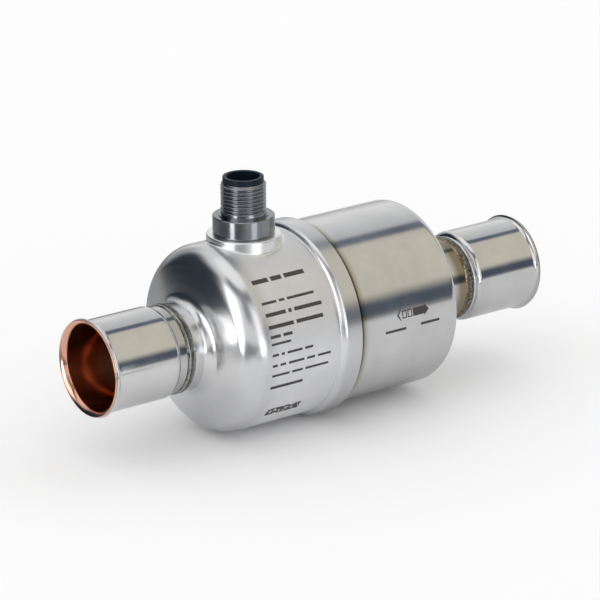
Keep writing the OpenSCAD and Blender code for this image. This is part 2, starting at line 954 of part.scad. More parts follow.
inlet_sleeve();
inlet_liner();
inlet_weld();
front_housing();
seam_weld();
rear_can();
outlet_weld();
outlet_sleeve();
outlet_liner();
connector_shell();
connector_insert();
contact_pins();
glass_seal();
motor_leads();
lead_grommet();
motor_case();
rear_cap();
front_cap();
stator_stack();
stator_coils();
rotor_cup_rear();
rotor_cup_front();
rotor_magnet();
spindle();
rear_bearing_outer();
rear_bearing_inner();
rear_bearing_balls();
front_bearing_outer();
front_bearing_inner();
front_bearing_balls();
preload_washer();
carrier_plate();
carrier_screws();
guide_pins();
port_sleeve();
seat_ring();
sleeve_ring();
piston();
piston_seal();
lead_nut();
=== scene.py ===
"""Looks of the electronic expansion valve: smooth shells, cut thread, welds, print, studio.

Sizes are in millimetres in the part's own frame and become metres where an object is made.
The flow axis is X, the connector stands up along Z, and a turn of 0 about X faces -Y.
"""

import json
import math

import bpy
import numpy as np
from mathutils import Matrix, Vector


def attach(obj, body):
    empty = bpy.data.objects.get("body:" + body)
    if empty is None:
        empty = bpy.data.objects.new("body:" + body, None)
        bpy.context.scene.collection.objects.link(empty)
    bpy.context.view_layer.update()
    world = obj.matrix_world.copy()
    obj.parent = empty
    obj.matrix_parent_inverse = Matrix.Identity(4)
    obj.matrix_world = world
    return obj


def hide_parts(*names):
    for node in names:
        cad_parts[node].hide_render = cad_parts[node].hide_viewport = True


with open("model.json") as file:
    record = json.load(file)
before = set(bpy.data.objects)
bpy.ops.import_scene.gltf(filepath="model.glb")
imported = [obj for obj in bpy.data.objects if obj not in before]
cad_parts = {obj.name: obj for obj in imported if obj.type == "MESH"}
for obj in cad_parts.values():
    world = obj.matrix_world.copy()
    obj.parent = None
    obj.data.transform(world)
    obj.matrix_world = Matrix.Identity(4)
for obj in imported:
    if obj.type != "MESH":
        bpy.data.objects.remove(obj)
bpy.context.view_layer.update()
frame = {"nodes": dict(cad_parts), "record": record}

MM = 0.001
WHITE = (1.0, 1.0, 1.0)

# Sizes shared with the solids
SOCKET_R = 11.2
SOCKET_DEPTH = 17.5
LINER_T = 0.5
SLEEVE_T = 0.6
FLARE_BEND_R = 1.3
FLARE_ANGLE = 68.0
SHOULDER_IN_R = 0.8
SHOULDER_OUT_R = 0.5
INLET_STUB_LEN = 3.4
OUTLET_STUB_LEN = 1.4
BODY_R = 25.1
SHELL_T = 1.35
CROWN_R = 60.0
KNUCKLE_R = 7.0
INLET_ROOT_R = 3.0
INLET_NECK_R = 11.6
INLET_NECK_LEN = 4.9
FRONT_LEN = 33.05
JOGGLE_RISE = 1.15
JOGGLE_LEN = 2.0
BAND_LEN = 4.3
PLATE_T = 1.8
CAN_LEN = 36.7
CAN_CORNER_R = 3.0
OUTLET_NECK_R = 11.0
OUTLET_NECK_LEN = 14.5
OUTLET_ROOT_R = 1.6
BEAD_HALF = 1.35
BEAD_RISE = 0.5
SEAM_LEG = 0.55
CONNECTOR_BACK = 20.73
BOSS_R = 9.85
BOSS_RISE = 1.58
FLANGE_R = 8.15
FLANGE_H = 4.95
THREAD_R = 6.0
THREAD_LEN = 8.9
THREAD_CHAMFER = 0.5
SHELL_BORE_R = 4.9
SPIGOT_R = 6.5
SPIGOT_LEN = 4.2
GLASS_LEN = 5.5
RIM_R = 5.4
RIM_H = 1.45
RECESS_R = 4.33
RECESS_DEPTH = 8.0
BOND_GAP = 0.03

# Stations that follow from them
WALL_T = LINER_T + SLEEVE_T
SLEEVE_R = SOCKET_R + WALL_T
BEND_SUM = SHOULDER_IN_R + SHOULDER_OUT_R + WALL_T
INLET_TURN = math.degrees(math.acos(1 - (SLEEVE_R - INLET_NECK_R) / BEND_SUM))
OUTLET_TURN = math.degrees(math.acos(1 - (SLEEVE_R - OUTLET_NECK_R) / BEND_SUM))
INLET_JOINT_X = SOCKET_DEPTH + BEND_SUM * math.sin(math.radians(INLET_TURN)) + INLET_STUB_LEN
CROWN_X = INLET_JOINT_X + INLET_NECK_LEN
CROWN_MID_X = CROWN_X + CROWN_R
KNUCKLE_RISE = math.sqrt((CROWN_R - KNUCKLE_R) ** 2 - (BODY_R - KNUCKLE_R) ** 2)
KNUCKLE_X = CROWN_MID_X - KNUCKLE_RISE
ROOT_RISE = math.sqrt((CROWN_R + INLET_ROOT_R) ** 2 - (INLET_NECK_R + INLET_ROOT_R) ** 2)
ROOT_X = CROWN_MID_X - ROOT_RISE
JOGGLE_X = CROWN_X + FRONT_LEN
BAND_R = BODY_R + JOGGLE_RISE
BAND_X = JOGGLE_X + JOGGLE_LEN
BAND_END_X = BAND_X + BAND_LEN
JOGGLE_TURN = 2 * math.degrees(math.atan(JOGGLE_RISE / JOGGLE_LEN))
JOGGLE_BEND = (JOGGLE_LEN / math.sin(math.radians(JOGGLE_TURN)) - SHELL_T) / 2
CAN_R = BAND_R - SHELL_T - BOND_GAP
CAN_X = BAND_X + PLATE_T
CAN_END_X = CAN_X + CAN_LEN
OUTLET_JOINT_X = CAN_END_X + OUTLET_NECK_LEN
OUTLET_BEND_LEN = BEND_SUM * math.sin(math.radians(OUTLET_TURN))
OUTLET_SOCKET_X = OUTLET_JOINT_X + OUTLET_STUB_LEN + OUTLET_BEND_LEN + SOCKET_DEPTH
CONNECTOR_X = CROWN_X + CONNECTOR_BACK
BOSS_TOP_Z = BODY_R + BOSS_RISE
FLANGE_TOP_Z = BOSS_TOP_Z + FLANGE_H
THREAD_TOP_Z = FLANGE_TOP_Z + THREAD_LEN
RIM_TOP_Z = THREAD_TOP_Z + RIM_H
SPIGOT_Z = BOSS_TOP_Z - SPIGOT_LEN
FLOOR_Z = -BAND_R

# Fineness of the meshes
TURN_STEPS = 240
BEAD_STEPS = 960
THREAD_ROWS = 24
ARC_STEP = 2.5
LONGEST_STEP = 1.0
FLARE_POINTS = 28
LIP_POINTS = 11
EDGE_POINTS = 5
SHARP_ANGLE = math.radians(32)

# Small features that only the visual model has
LIP_BULGE = 2.6
BOSS_EDGE_R = 0.45
BOSS_ROOT_R = 0.55
INSERT_EDGE_R = 0.2
INSERT_CORE_R = 0.05
FLANGE_EDGE = 0.22
COLLAR_R = 6.55
COLLAR_H = 0.22
THREAD_PITCH = 1.0
THREAD_DEPTH = 0.5
THREAD_RUNOUT = 1.0
THREAD_FADE = 0.6
SEAM_ARC = (262, 188)
INK_RISE = 0.02

# A corner that turns by more than this is rounded, over at most this share of each side
SHARP_CORNER = 40.0
EDGE_SHARE = 0.45

# Ripples of a weld: their pitch, how their places and depths vary, and the form of one scale
RIPPLE_PITCH = 1.05
RIPPLE_JITTER = 0.18
RIPPLE_DEPTHS = (0.55, 1.0)
RIPPLE_LAG = 0.7
RIPPLE_CREST = 0.85
RIPPLE_FALL = 0.15

RNG = np.random.default_rng(7)


# Outlines and meshes


def polar(mid, radius, angle):
    """The point at a radius and an angle from another point."""
    return (mid[0] + radius * math.cos(angle), mid[1] + radius * math.sin(angle))


def arc(mid, radius, start, stop):
    """Points (r, x) along an arc, its angles in degrees from the radial direction."""
    steps = max(2, math.ceil(abs(stop - start) / ARC_STEP))
    return [polar(mid, radius, a) for a in np.radians(np.linspace(start, stop, steps + 1))]


def spread(points, longest=LONGEST_STEP):
    """The same open outline with its long straight stretches cut into short steps."""
    out = [points[0]]
    for (r0, x0), (r1, x1) in zip(points, points[1:]):
        steps = max(1, math.ceil(math.hypot(r1 - r0, x1 - x0) / longest))
        out += [(r0 + (r1 - r0) * i / steps, x0 + (x1 - x0) * i / steps) for i in range(1, steps + 1)]
    return out


def close_outline(points):
    """A closed outline with fine steps all the way round."""
    return spread(points + [points[0]])[:-1]


def eased(points, radius):
    """A closed outline whose sharp corners are broken by a small round edge."""
    out = []
    for i, point in enumerate(points):
        here = Vector(point)
        to_last = Vector(points[i - 1]) - here
        to_next = Vector(points[(i + 1) % len(points)]) - here
        if 180 - math.degrees(to_last.angle(to_next)) < SHARP_CORNER:
            out.append(point)
            continue
        reach = min(radius, EDGE_SHARE * to_last.length, EDGE_SHARE * to_next.length)
        first = here + to_last.normalized() * reach
        last = here + to_next.normalized() * reach
        for s in np.linspace(0, 1, EDGE_POINTS):
            out.append(tuple(first * (1 - s) ** 2 + here * 2 * s * (1 - s) + last * s * s))
    return out


def grid_loops(rows, columns):
    """The closed loops of vertex indices of a grid, row by row."""
    return [range(i * columns, (i + 1) * columns) for i in range(rows)]


def band_faces(first, second):
    """Quads between two closed loops of vertex indices."""
    pairs = list(zip(first, second))
    return [(a, b, d, c) for (a, c), (b, d) in zip(pairs, pairs[1:] + pairs[:1])]


def new_mesh(name, verts, faces):
    """A smooth-shaded mesh, in metres, with sharp edges kept and its faces turned outwards."""
    mesh = bpy.data.meshes.new(name)
    mesh.from_pydata([(x * MM, y * MM, z * MM) for x, y, z in verts], [], faces)
    mesh.validate()
    volume = sum(mesh.vertices[p.vertices[0]].co.dot(p.normal) * p.area for p in mesh.polygons)
    if volume < 0:
        mesh.flip_normals()
    mesh.polygons.foreach_set("use_smooth", [True] * len(mesh.polygons))
    mesh.set_sharp_from_angle(angle=SHARP_ANGLE)
    return mesh


def about_x(r, x, turn):
    """A point at a radius and a station of the flow axis, turned up from -Y by an angle."""
    return (x, -r * math.cos(turn), r * math.sin(turn))


def about_z(r, z, turn):
    """A point at a radius and a height, turned about an upright axis through the mesh's origin."""
    return (r * math.cos(turn), r * math.sin(turn), z)


def turned(name, outline, place=about_x, steps=TURN_STEPS, radius_at=None):
    """A closed outline of (r, station) turned about an axis. radius_at may vary each radius."""
    verts = []
    for r, along in outline:
        for j in range(steps):
            turn = math.tau * j / steps
            radius = r if radius_at is None else radius_at(r, along, turn)
            verts.append(place(radius, along, turn))
    loops = grid_loops(len(outline), steps)
    faces = []
    for first, second in zip(loops, loops[1:] + loops[:1]):
        faces += band_faces(first, second)
    return new_mesh(name, verts, faces)


def new_object(name, data):
    """An object of the scene that holds a mesh, a lamp or a camera."""
    thing = bpy.data.objects.new(name, data)
    bpy.context.scene.collection.objects.link(thing)
    return thing


replaced_nodes = set()


def add_piece(mesh, material, slot, *nodes, at=(0, 0, 0)):
    """Places a piece of the housing, its origin in millimetres, and hides and notes the nodes that it
    replaces. Its slot is not used.
    """
    piece = new_object(mesh.name, mesh)
    piece.location = Vector(at) * MM
    mesh.materials.append(material)
    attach(piece, "housing")
    if nodes:
        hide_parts(*nodes)
        replaced_nodes.update(nodes)


# Shells


def flare_point(depth, angle):
    """A point of the flared lip at a depth in the wall and an angle along the flare."""
    return polar((SLEEVE_R + FLARE_BEND_R, 0), FLARE_BEND_R + WALL_T - depth, math.radians(180 + angle))


def socket_face(depth, turn, stub_len):
    """One face of a socket wall from its lip to its stub."""
    first_mid = (SOCKET_R - SHOULDER_IN_R, SOCKET_DEPTH)
    last_mid = polar(first_mid, BEND_SUM, math.radians(turn))
    last_r = SHOULDER_OUT_R + WALL_T - depth
    flare = [flare_point(depth, a) for a in np.linspace(FLARE_ANGLE - LIP_BULGE, 0, FLARE_POINTS)]
    return spread(
        flare
        + arc(first_mid, SHOULDER_IN_R + depth, 0, turn)
        + arc(last_mid, last_r, 180 + turn, 180)
        + [(last_mid[0] - last_r, last_mid[1] + stub_len)]
    )


def socket_outline(depth_in, depth_out, turn, stub_len):
    """Closed outline of one layer of a socket, its lip rounded over."""
    half = (depth_out - depth_in) / 2
    lip = []
    for s in np.linspace(0, math.pi, LIP_POINTS)[1:-1]:
        depth = depth_in + half + half * math.cos(s)
        lip.append(flare_point(depth, FLARE_ANGLE - LIP_BULGE + LIP_BULGE * math.sin(s)))
    inside = socket_face(depth_in, turn, stub_len)
    outside = socket_face(depth_out, turn, stub_len)
    return inside + outside[::-1] + lip


def front_face(depth):
    """One face of the front housing's wall, inlet first, at a depth in from the outside."""
    root_end = math.degrees(math.atan2(ROOT_RISE, INLET_NECK_R + INLET_ROOT_R))
    crown_end = math.degrees(math.atan2(KNUCKLE_RISE, BODY_R - KNUCKLE_R))
    band_bend_r = JOGGLE_BEND + SHELL_T
    return (
        [(INLET_NECK_R - depth, INLET_JOINT_X)]
        + arc((INLET_NECK_R + INLET_ROOT_R, ROOT_X), INLET_ROOT_R + depth, 180, 180 - root_end)
        + arc((0, CROWN_MID_X), CROWN_R - depth, -root_end, -crown_end)
        + arc((BODY_R - KNUCKLE_R, KNUCKLE_X), KNUCKLE_R - depth, -crown_end, 0)
        + arc((BODY_R + JOGGLE_BEND, JOGGLE_X), JOGGLE_BEND + depth, 180, 180 - JOGGLE_TURN)
        + arc((BAND_R - band_bend_r, BAND_X), band_bend_r - depth, -JOGGLE_TURN, 0)
        + [(BAND_R - depth, BAND_END_X)]
    )


def can_face(depth):
    """One face of the rear can's wall, rim first, at a depth in from the outside."""
    corner_mid = (CAN_R - CAN_CORNER_R, CAN_END_X - CAN_CORNER_R)
    root_mid = (OUTLET_NECK_R + OUTLET_ROOT_R, CAN_END_X + OUTLET_ROOT_R)
    return (
        [(CAN_R - depth, CAN_X)]
        + arc(corner_mid, CAN_CORNER_R - depth, 0, 90)
        + arc(root_mid, OUTLET_ROOT_R + depth, 270, 180)
        + [(OUTLET_NECK_R - depth, OUTLET_JOINT_X)]
    )


class BossGrid:
    """One face of the front housing: a turned grid with a block cut out and a round boss set in.

    The face is given by its outline, the boss by its radius, its top and its two bend radii.
    """

    HALF_BLOCK = 11.9
    HALF_TURN = math.radians(31.5)
    BLEND_ROWS = 7
    BEND_ROWS = 8
    HOLE_ROWS = 4
    HOLE_R = SPIGOT_R + BOND_GAP
    # The foot of the boss is found in a few rounds, from the wall's slope over a small step
    FOOT_ROUNDS = 12
    SLOPE_STEP = 0.01

    def __init__(self, outline, boss_r, top_z, root_r, edge_r):
        self.outline = outline
        self.boss_r = boss_r
        self.top_z = top_z
        self.root_r = root_r
        self.edge_r = edge_r
        self.verts = []
        self.faces = []
        self.loops = grid_loops(len(outline), TURN_STEPS)
        self.lay_grid()
        self.lay_boss()

    def lay_grid(self):
        """The turned grid without the block under the boss."""
        near = [abs(x - CONNECTOR_X) < self.HALF_BLOCK for r, x in self.outline]
        inside = np.nonzero(near)[0].tolist()
        self.first_row, self.last_row = inside[0], inside[-1]
        step = math.tau / TURN_STEPS
        self.first_col = math.ceil((math.pi / 2 - self.HALF_TURN) / step)
        self.last_col = math.floor((math.pi / 2 + self.HALF_TURN) / step)
        for r, x in self.outline:
            self.verts += [about_x(r, x, step * j) for j in range(TURN_STEPS)]
        for i, (low, high) in enumerate(zip(self.loops, self.loops[1:])):
            quads = band_faces(low, high)
            if self.first_row <= i < self.last_row:
                del quads[self.first_col:self.last_col]
            self.faces += quads

    def border(self):
        """Indices of the vertices round the block that was left out, in order."""
        rows = list(range(self.first_row, self.last_row + 1))
        cols = list(range(self.first_col, self.last_col + 1))
        loop = [(self.first_row, j) for j in cols]
        loop += [(i, self.last_col) for i in rows[1:]]
        loop += [(self.last_row, j) for j in cols[-2::-1]]
        loop += [(i, self.first_col) for i in rows[-2:0:-1]]
        return [self.loops[i][j] for i, j in loop]

    def height(self, reach, angle):
        """Height of the plain wall at a distance and a direction from the connector's axis."""
        x, y = polar((CONNECTOR_X, 0), reach, angle)
        r = np.interp(x, [p[1] for p in self.outline], [p[0] for p in self.outline])
        return math.sqrt(r * r - y * y)

    def slope(self, reach, angle):
        """Slope of the plain wall, outwards from the connector's axis."""
        step = self.SLOPE_STEP
        return (self.height(reach + step, angle) - self.height(reach - step, angle)) / (2 * step)

    def boss_rows(self, angle):
        """Points (reach, height) from the plain wall up over the boss and in to its hole."""
        foot = self.boss_r + self.root_r
        for _ in range(self.FOOT_ROUNDS):
            slope = self.slope(foot, angle)
            lean = math.hypot(1, slope)
            foot = self.boss_r + self.root_r * (1 + slope / lean)
        root_mid = (self.boss_r + self.root_r, self.height(foot, angle) + self.root_r / lean)
        root_start = -math.pi / 2 + math.atan(slope)
        flat = self.boss_r - self.edge_r
        edge_mid = (flat, self.top_z - self.edge_r)
        root_turns = np.linspace(root_start, -math.pi, self.BEND_ROWS + 1)
        edge_turns = np.linspace(0, math.pi / 2, self.BEND_ROWS + 1)
        rows = [polar(root_mid, self.root_r, a) for a in root_turns]
        rows += [polar(edge_mid, self.edge_r, a) for a in edge_turns]
        for s in np.linspace(0, 1, self.HOLE_ROWS + 1)[1:]:
            rows.append((flat + (self.HOLE_R - flat) * s, self.top_z))
        return rows

    def lay_boss(self):
        """Rings that lead from the block's border in to the boss, over it and to its hole."""
        loop = self.border()
        plan = [(self.verts[i][0] - CONNECTOR_X, self.verts[i][1]) for i in loop]
        angles = [math.atan2(y, x) for x, y in plan]
        climbs = [self.boss_rows(a) for a in angles]
        rings = [loop]
        for s in np.linspace(0, 1, self.BLEND_ROWS + 1)[1:-1]:
            ring = []
            for (x, y), angle, climb in zip(plan, angles, climbs):
                reach = math.hypot(x, y) * (1 - s) + climb[0][0] * s
                ring.append((reach, self.height(reach, angle)))
            rings.append(self.add_ring(ring, angles))
        rings += [self.add_ring(ring, angles) for ring in zip(*climbs)]
        for outer, inner in zip(rings, rings[1:]):
            self.faces += band_faces(outer, inner)
        self.hole_ring = rings[-1]

    def add_ring(self, points, angles):
        """Adds a ring of points (reach, height) round the connector's axis and gives their indices."""
        first = len(self.verts)
        for (reach, z), angle in zip(points, angles):
            self.verts.append((*polar((CONNECTOR_X, 0), reach, angle), z))
        return range(first, first + len(points))


def front_housing_mesh():
    """The drawn front housing: both faces of its wall with the boss formed through them."""
    out = BossGrid(spread(front_face(0)), BOSS_R, BOSS_TOP_Z, BOSS_ROOT_R, BOSS_EDGE_R)
    bore_r, bore_z = BOSS_R - SHELL_T, BOSS_TOP_Z - SHELL_T
    bore = BossGrid(spread(front_face(SHELL_T)), bore_r, bore_z, BOSS_EDGE_R, BOSS_EDGE_R)
    shift = len(out.verts)
    bore_ends = (bore.loops[0], bore.loops[-1], bore.hole_ring)
    first, last, hole = ([shift + i for i in loop] for loop in bore_ends)
    faces = out.faces + [tuple(shift + i for i in reversed(f)) for f in bore.faces]
    faces += band_faces(first, out.loops[0])
    faces += band_faces(out.loops[-1], last)
    faces += band_faces(out.hole_ring, hole)
    return new_mesh("front_housing_skin", out.verts + bore.verts, faces)


# Welds


def bead_outline(x_mid, foot_r, ridges, groove):
    """Closed outline of a bead with a rounded back, cut by grooves into ridges."""
    back_r = (BEAD_HALF ** 2 + BEAD_RISE ** 2) / (2 * BEAD_RISE)
    half_angle = math.degrees(math.asin(BEAD_HALF / back_r))
    back = []
    for r, x in arc((foot_r + BEAD_RISE - back_r, x_mid), back_r, -half_angle, half_angle):
        wave = 0.5 - 0.5 * math.cos(math.pi * ridges * ((x - x_mid) / BEAD_HALF + 1))
        back.append((foot_r + (r - foot_r) * (1 - groove * (1 - wave)), x))
    return close_outline(back)


def ripple(x_mid, foot_r, depth):
    """A radius function that lays overlapping scales round a bead."""
    count = round(math.tau * foot_r / RIPPLE_PITCH)
    jitter = RNG.uniform(-RIPPLE_JITTER, RIPPLE_JITTER, count)
    rise = RNG.uniform(*RIPPLE_DEPTHS, count)

    def radius_at(r, x, turn):
        side = (x - x_mid) / BEAD_HALF
        place = turn / math.tau * count - RIPPLE_LAG * side * side
        index = math.floor(place) % count
        along = (place - math.floor(place) + jitter[index]) % 1.0
        scale = along ** 2 * (1 - max(0.0, along - RIPPLE_CREST) / RIPPLE_FALL)
        return foot_r + (r - foot_r) * (1 - depth * rise[index] * (1 - scale))

    return radius_at


def weld_bead(name, joint_x, neck_r, ridges, groove, depth):
    """A bead round a neck, with ridges across it and ripples of a given depth along it."""
    foot_r = neck_r + BOND_GAP
    outline = bead_outline(joint_x, foot_r, ridges, groove)
    return turned(name, outline, steps=BEAD_STEPS, radius_at=ripple(joint_x, foot_r, depth))


def seam_outline():
    """Closed outline of the hollow fillet between the housing's mouth and the can."""
    foot_r = CAN_R + BOND_GAP
    top_r = foot_r + SEAM_LEG
    end_x = BAND_END_X + SEAM_LEG
    hollow = arc((top_r, end_x), SEAM_LEG, *SEAM_ARC)
    return close_outline([(foot_r, BAND_END_X), (top_r, BAND_END_X)] + hollow + [(foot_r, end_x)])


# Connector


def thread_radius(r, z, turn):
    """The connector's radius where the helical thread is cut into it."""
    start = FLANGE_TOP_Z + THREAD_RUNOUT
    if r <= SHELL_BORE_R or not start <= z <= THREAD_TOP_Z:
        return r
    phase = (z - start) / THREAD_PITCH - turn / math.tau
    groove = 0.5 + 0.5 * math.cos(math.tau * phase)
    fade = min(1.0, (z - start) / (THREAD_FADE * THREAD_PITCH))
    return min(r, THREAD_R - THREAD_DEPTH * groove * fade)


def connector_outline():
    """Closed outline of the connector's shell, in fine steps along its thread."""
    row = THREAD_PITCH / THREAD_ROWS
    edge_r = FLANGE_R - FLANGE_EDGE
    chamfer_z = THREAD_TOP_Z - THREAD_CHAMFER
    flange = [
        (SHELL_BORE_R, SPIGOT_Z), (SPIGOT_R, SPIGOT_Z), (SPIGOT_R, BOSS_TOP_Z), (edge_r, BOSS_TOP_Z),
        (FLANGE_R, BOSS_TOP_Z + FLANGE_EDGE), (FLANGE_R, FLANGE_TOP_Z - FLANGE_EDGE),
        (edge_r, FLANGE_TOP_Z), (COLLAR_R, FLANGE_TOP_Z),
        (COLLAR_R, FLANGE_TOP_Z + COLLAR_H), (THREAD_R, FLANGE_TOP_Z + COLLAR_H),
    ]
    thread = spread([(THREAD_R, FLANGE_TOP_Z + THREAD_RUNOUT), (THREAD_R, chamfer_z)], row)
    chamfer = spread([(THREAD_R, chamfer_z), (THREAD_R - THREAD_CHAMFER, THREAD_TOP_Z)], row)
    return close_outline(flange + thread + chamfer[1:] + [(SHELL_BORE_R, THREAD_TOP_Z)])


def insert_outline():
    """Closed outline of the connector's black insert with its recess."""
    plug_r = SHELL_BORE_R - BOND_GAP
    floor_z = RIM_TOP_Z - RECESS_DEPTH
    foot_z = SPIGOT_Z + GLASS_LEN
    corners = [
        (INSERT_CORE_R, foot_z), (plug_r, foot_z), (plug_r, THREAD_TOP_Z), (RIM_R, THREAD_TOP_Z),
        (RIM_R, RIM_TOP_Z), (RECESS_R, RIM_TOP_Z), (RECESS_R, floor_z), (INSERT_CORE_R, floor_z),
    ]
    return close_outline(eased(corners, INSERT_EDGE_R))


# Print: plain bars in rows, a field of cells, and a flow arrow

# Rows as (turn in degrees, height, lengths of the bars)
PRINT_ROWS = (
    (48.8, 1.3, (5.0, 3.4, 6.4)),
    (34.6, 0.7, (4.6, 1.7, 8.6)),
    (27.4, 1.0, (6.4, 1.0, 8.8)),
    (20.0, 1.0, (8.0, 8.6)),
    (14.2, 0.8, (3.2, 2.9)),
    (9.8, 0.6, (6.2,)),
    (3.2, 0.65, (2.0, 1.0, 4.8, 2.6)),
    (-3.4, 0.65, (1.6, 1.8, 5.0, 2.6, 4.2)),
    (-9.8, 0.65, (5.6, 3.4, 7.4)),
    (-18.0, 0.85, (10.4,)),
)
PRINT_X = 38.4
BAR_GAP = 0.9
CELL = 0.42
CELL_GRID = (26, 7)
CELL_SHARE = 0.8
CELL_X = 40.4
CELL_TURN = -37.5
ARROW_X = 79.5
ARROW_TURN = 7.7
ARROW_LEN = 10.7
ARROW_HALF = 2.5
HEAD_LEN = 1.6
HEAD_RISE = 1.0
LINE_W = 0.3
BOX_LEN = 1.5
BOX_COUNT = 2
# Bars under the arrow as (first station, last station, turn in degrees)
ARROW_BARS = ((75.6, 82.4, -1.2), (87.4, 93.6, -0.8))
ARROW_BAR_H = 0.7


def ink_patch(corners, radius):
    """One printed field: a thin plate on a shell, its corners as (x, turn in degrees)."""
    loop = []
    for (x0, t0), (x1, t1) in zip(corners, corners[1:] + corners[:1]):
        steps = max(1, math.ceil(math.hypot(x1 - x0, math.radians(t1 - t0) * radius) / LONGEST_STEP))
        loop += [(x0 + (x1 - x0) * i / steps, t0 + (t1 - t0) * i / steps) for i in range(steps)]
    verts = []
    for rise in (-INK_RISE, INK_RISE):
        verts += [about_x(radius + rise, x, math.radians(t)) for x, t in loop]
    under, over = grid_loops(2, len(loop))
    return verts, [tuple(over), tuple(under[::-1])] + band_faces(under, over)


def ink_block(x0, x1, low, top, radius):
    """A printed block between two stations and two turns in degrees."""
    return ink_patch([(x0, low), (x1, low), (x1, top), (x0, top)], radius)


def ink_bar(x0, x1, turn, height, radius):
    """A printed bar between two stations, its height in millimetres."""
    half = math.degrees(height / radius) / 2
    return ink_block(x0, x1, turn - half, turn + half, radius)


def join_patches(name, patches):
    """One mesh from many printed fields."""
    verts, faces = [], []
    for patch_verts, patch_faces in patches:
        shift = len(verts)
        verts += patch_verts
        faces += [tuple(shift + i for i in f) for f in patch_faces]
    return new_mesh(name, verts, faces)


def housing_print_mesh():
    """Bars where the housing has lines of print, and a field of cells where it has a code."""
    patches = []
    for turn, height, lengths in PRINT_ROWS:
        x = PRINT_X
        for length in lengths:
            patches.append(ink_bar(x, x + length, turn, height, BODY_R))
            x += length + BAR_GAP
    for i, j in zip(*np.nonzero(RNG.random(CELL_GRID) < CELL_SHARE)):
        x = CELL_X + i * CELL
        turn = CELL_TURN - math.degrees(j * CELL / BODY_R)
        patches.append(ink_bar(x, x + CELL, turn, CELL, BODY_R))
    return join_patches("housing_print", patches)


def arrow_patches():
    """A flow arrow: a filled body and head on the right, open boxes and an open head on the left."""
    low, top = ARROW_TURN - ARROW_HALF, ARROW_TURN + ARROW_HALF
    tip = ARROW_X + ARROW_LEN
    tail = ARROW_X + ARROW_LEN / 2
    neck = tip - HEAD_LEN
    filled = [
        (tail, low), (neck, low), (neck, low - HEAD_RISE), (tip, ARROW_TURN),
        (neck, top + HEAD_RISE), (neck, top), (tail, top),
    ]
    patches = [ink_patch(filled, CAN_R)]
    line_turn = math.degrees(LINE_W / CAN_R)
    inner_low, inner_top = low + line_turn, top - line_turn
    for k in range(BOX_COUNT):
        x0 = tail - (k + 1) * (BOX_LEN + LINE_W)
        x1 = x0 + BOX_LEN
        patches.append(ink_block(x0, x1, inner_top, top, CAN_R))
        patches.append(ink_block(x0, x1, low, inner_low, CAN_R))
        for side in (x0, x1 - LINE_W):
            patches.append(ink_block(side, side + LINE_W, inner_low, inner_top, CAN_R))
    head_x = tail - BOX_COUNT * (BOX_LEN + LINE_W) - LINE_W
    inner_x = ARROW_X + 2 * LINE_W
    for sign in (1, -1):
        far = ARROW_TURN + sign * (ARROW_HALF + HEAD_RISE)
        barb = [(ARROW_X, ARROW_TURN), (inner_x, ARROW_TURN), (head_x, far), (head_x - LINE_W, far)]
        patches.append(ink_patch(barb[::sign], CAN_R))
    return patches


def can_print_mesh():
    """The flow arrow on the can with a bar under each of its ends."""
    bars = [ink_bar(x0, x1, turn, ARROW_BAR_H, CAN_R) for x0, x1, turn in ARROW_BARS]
    return join_patches("can_print", arrow_patches() + bars)


# Shader nodes


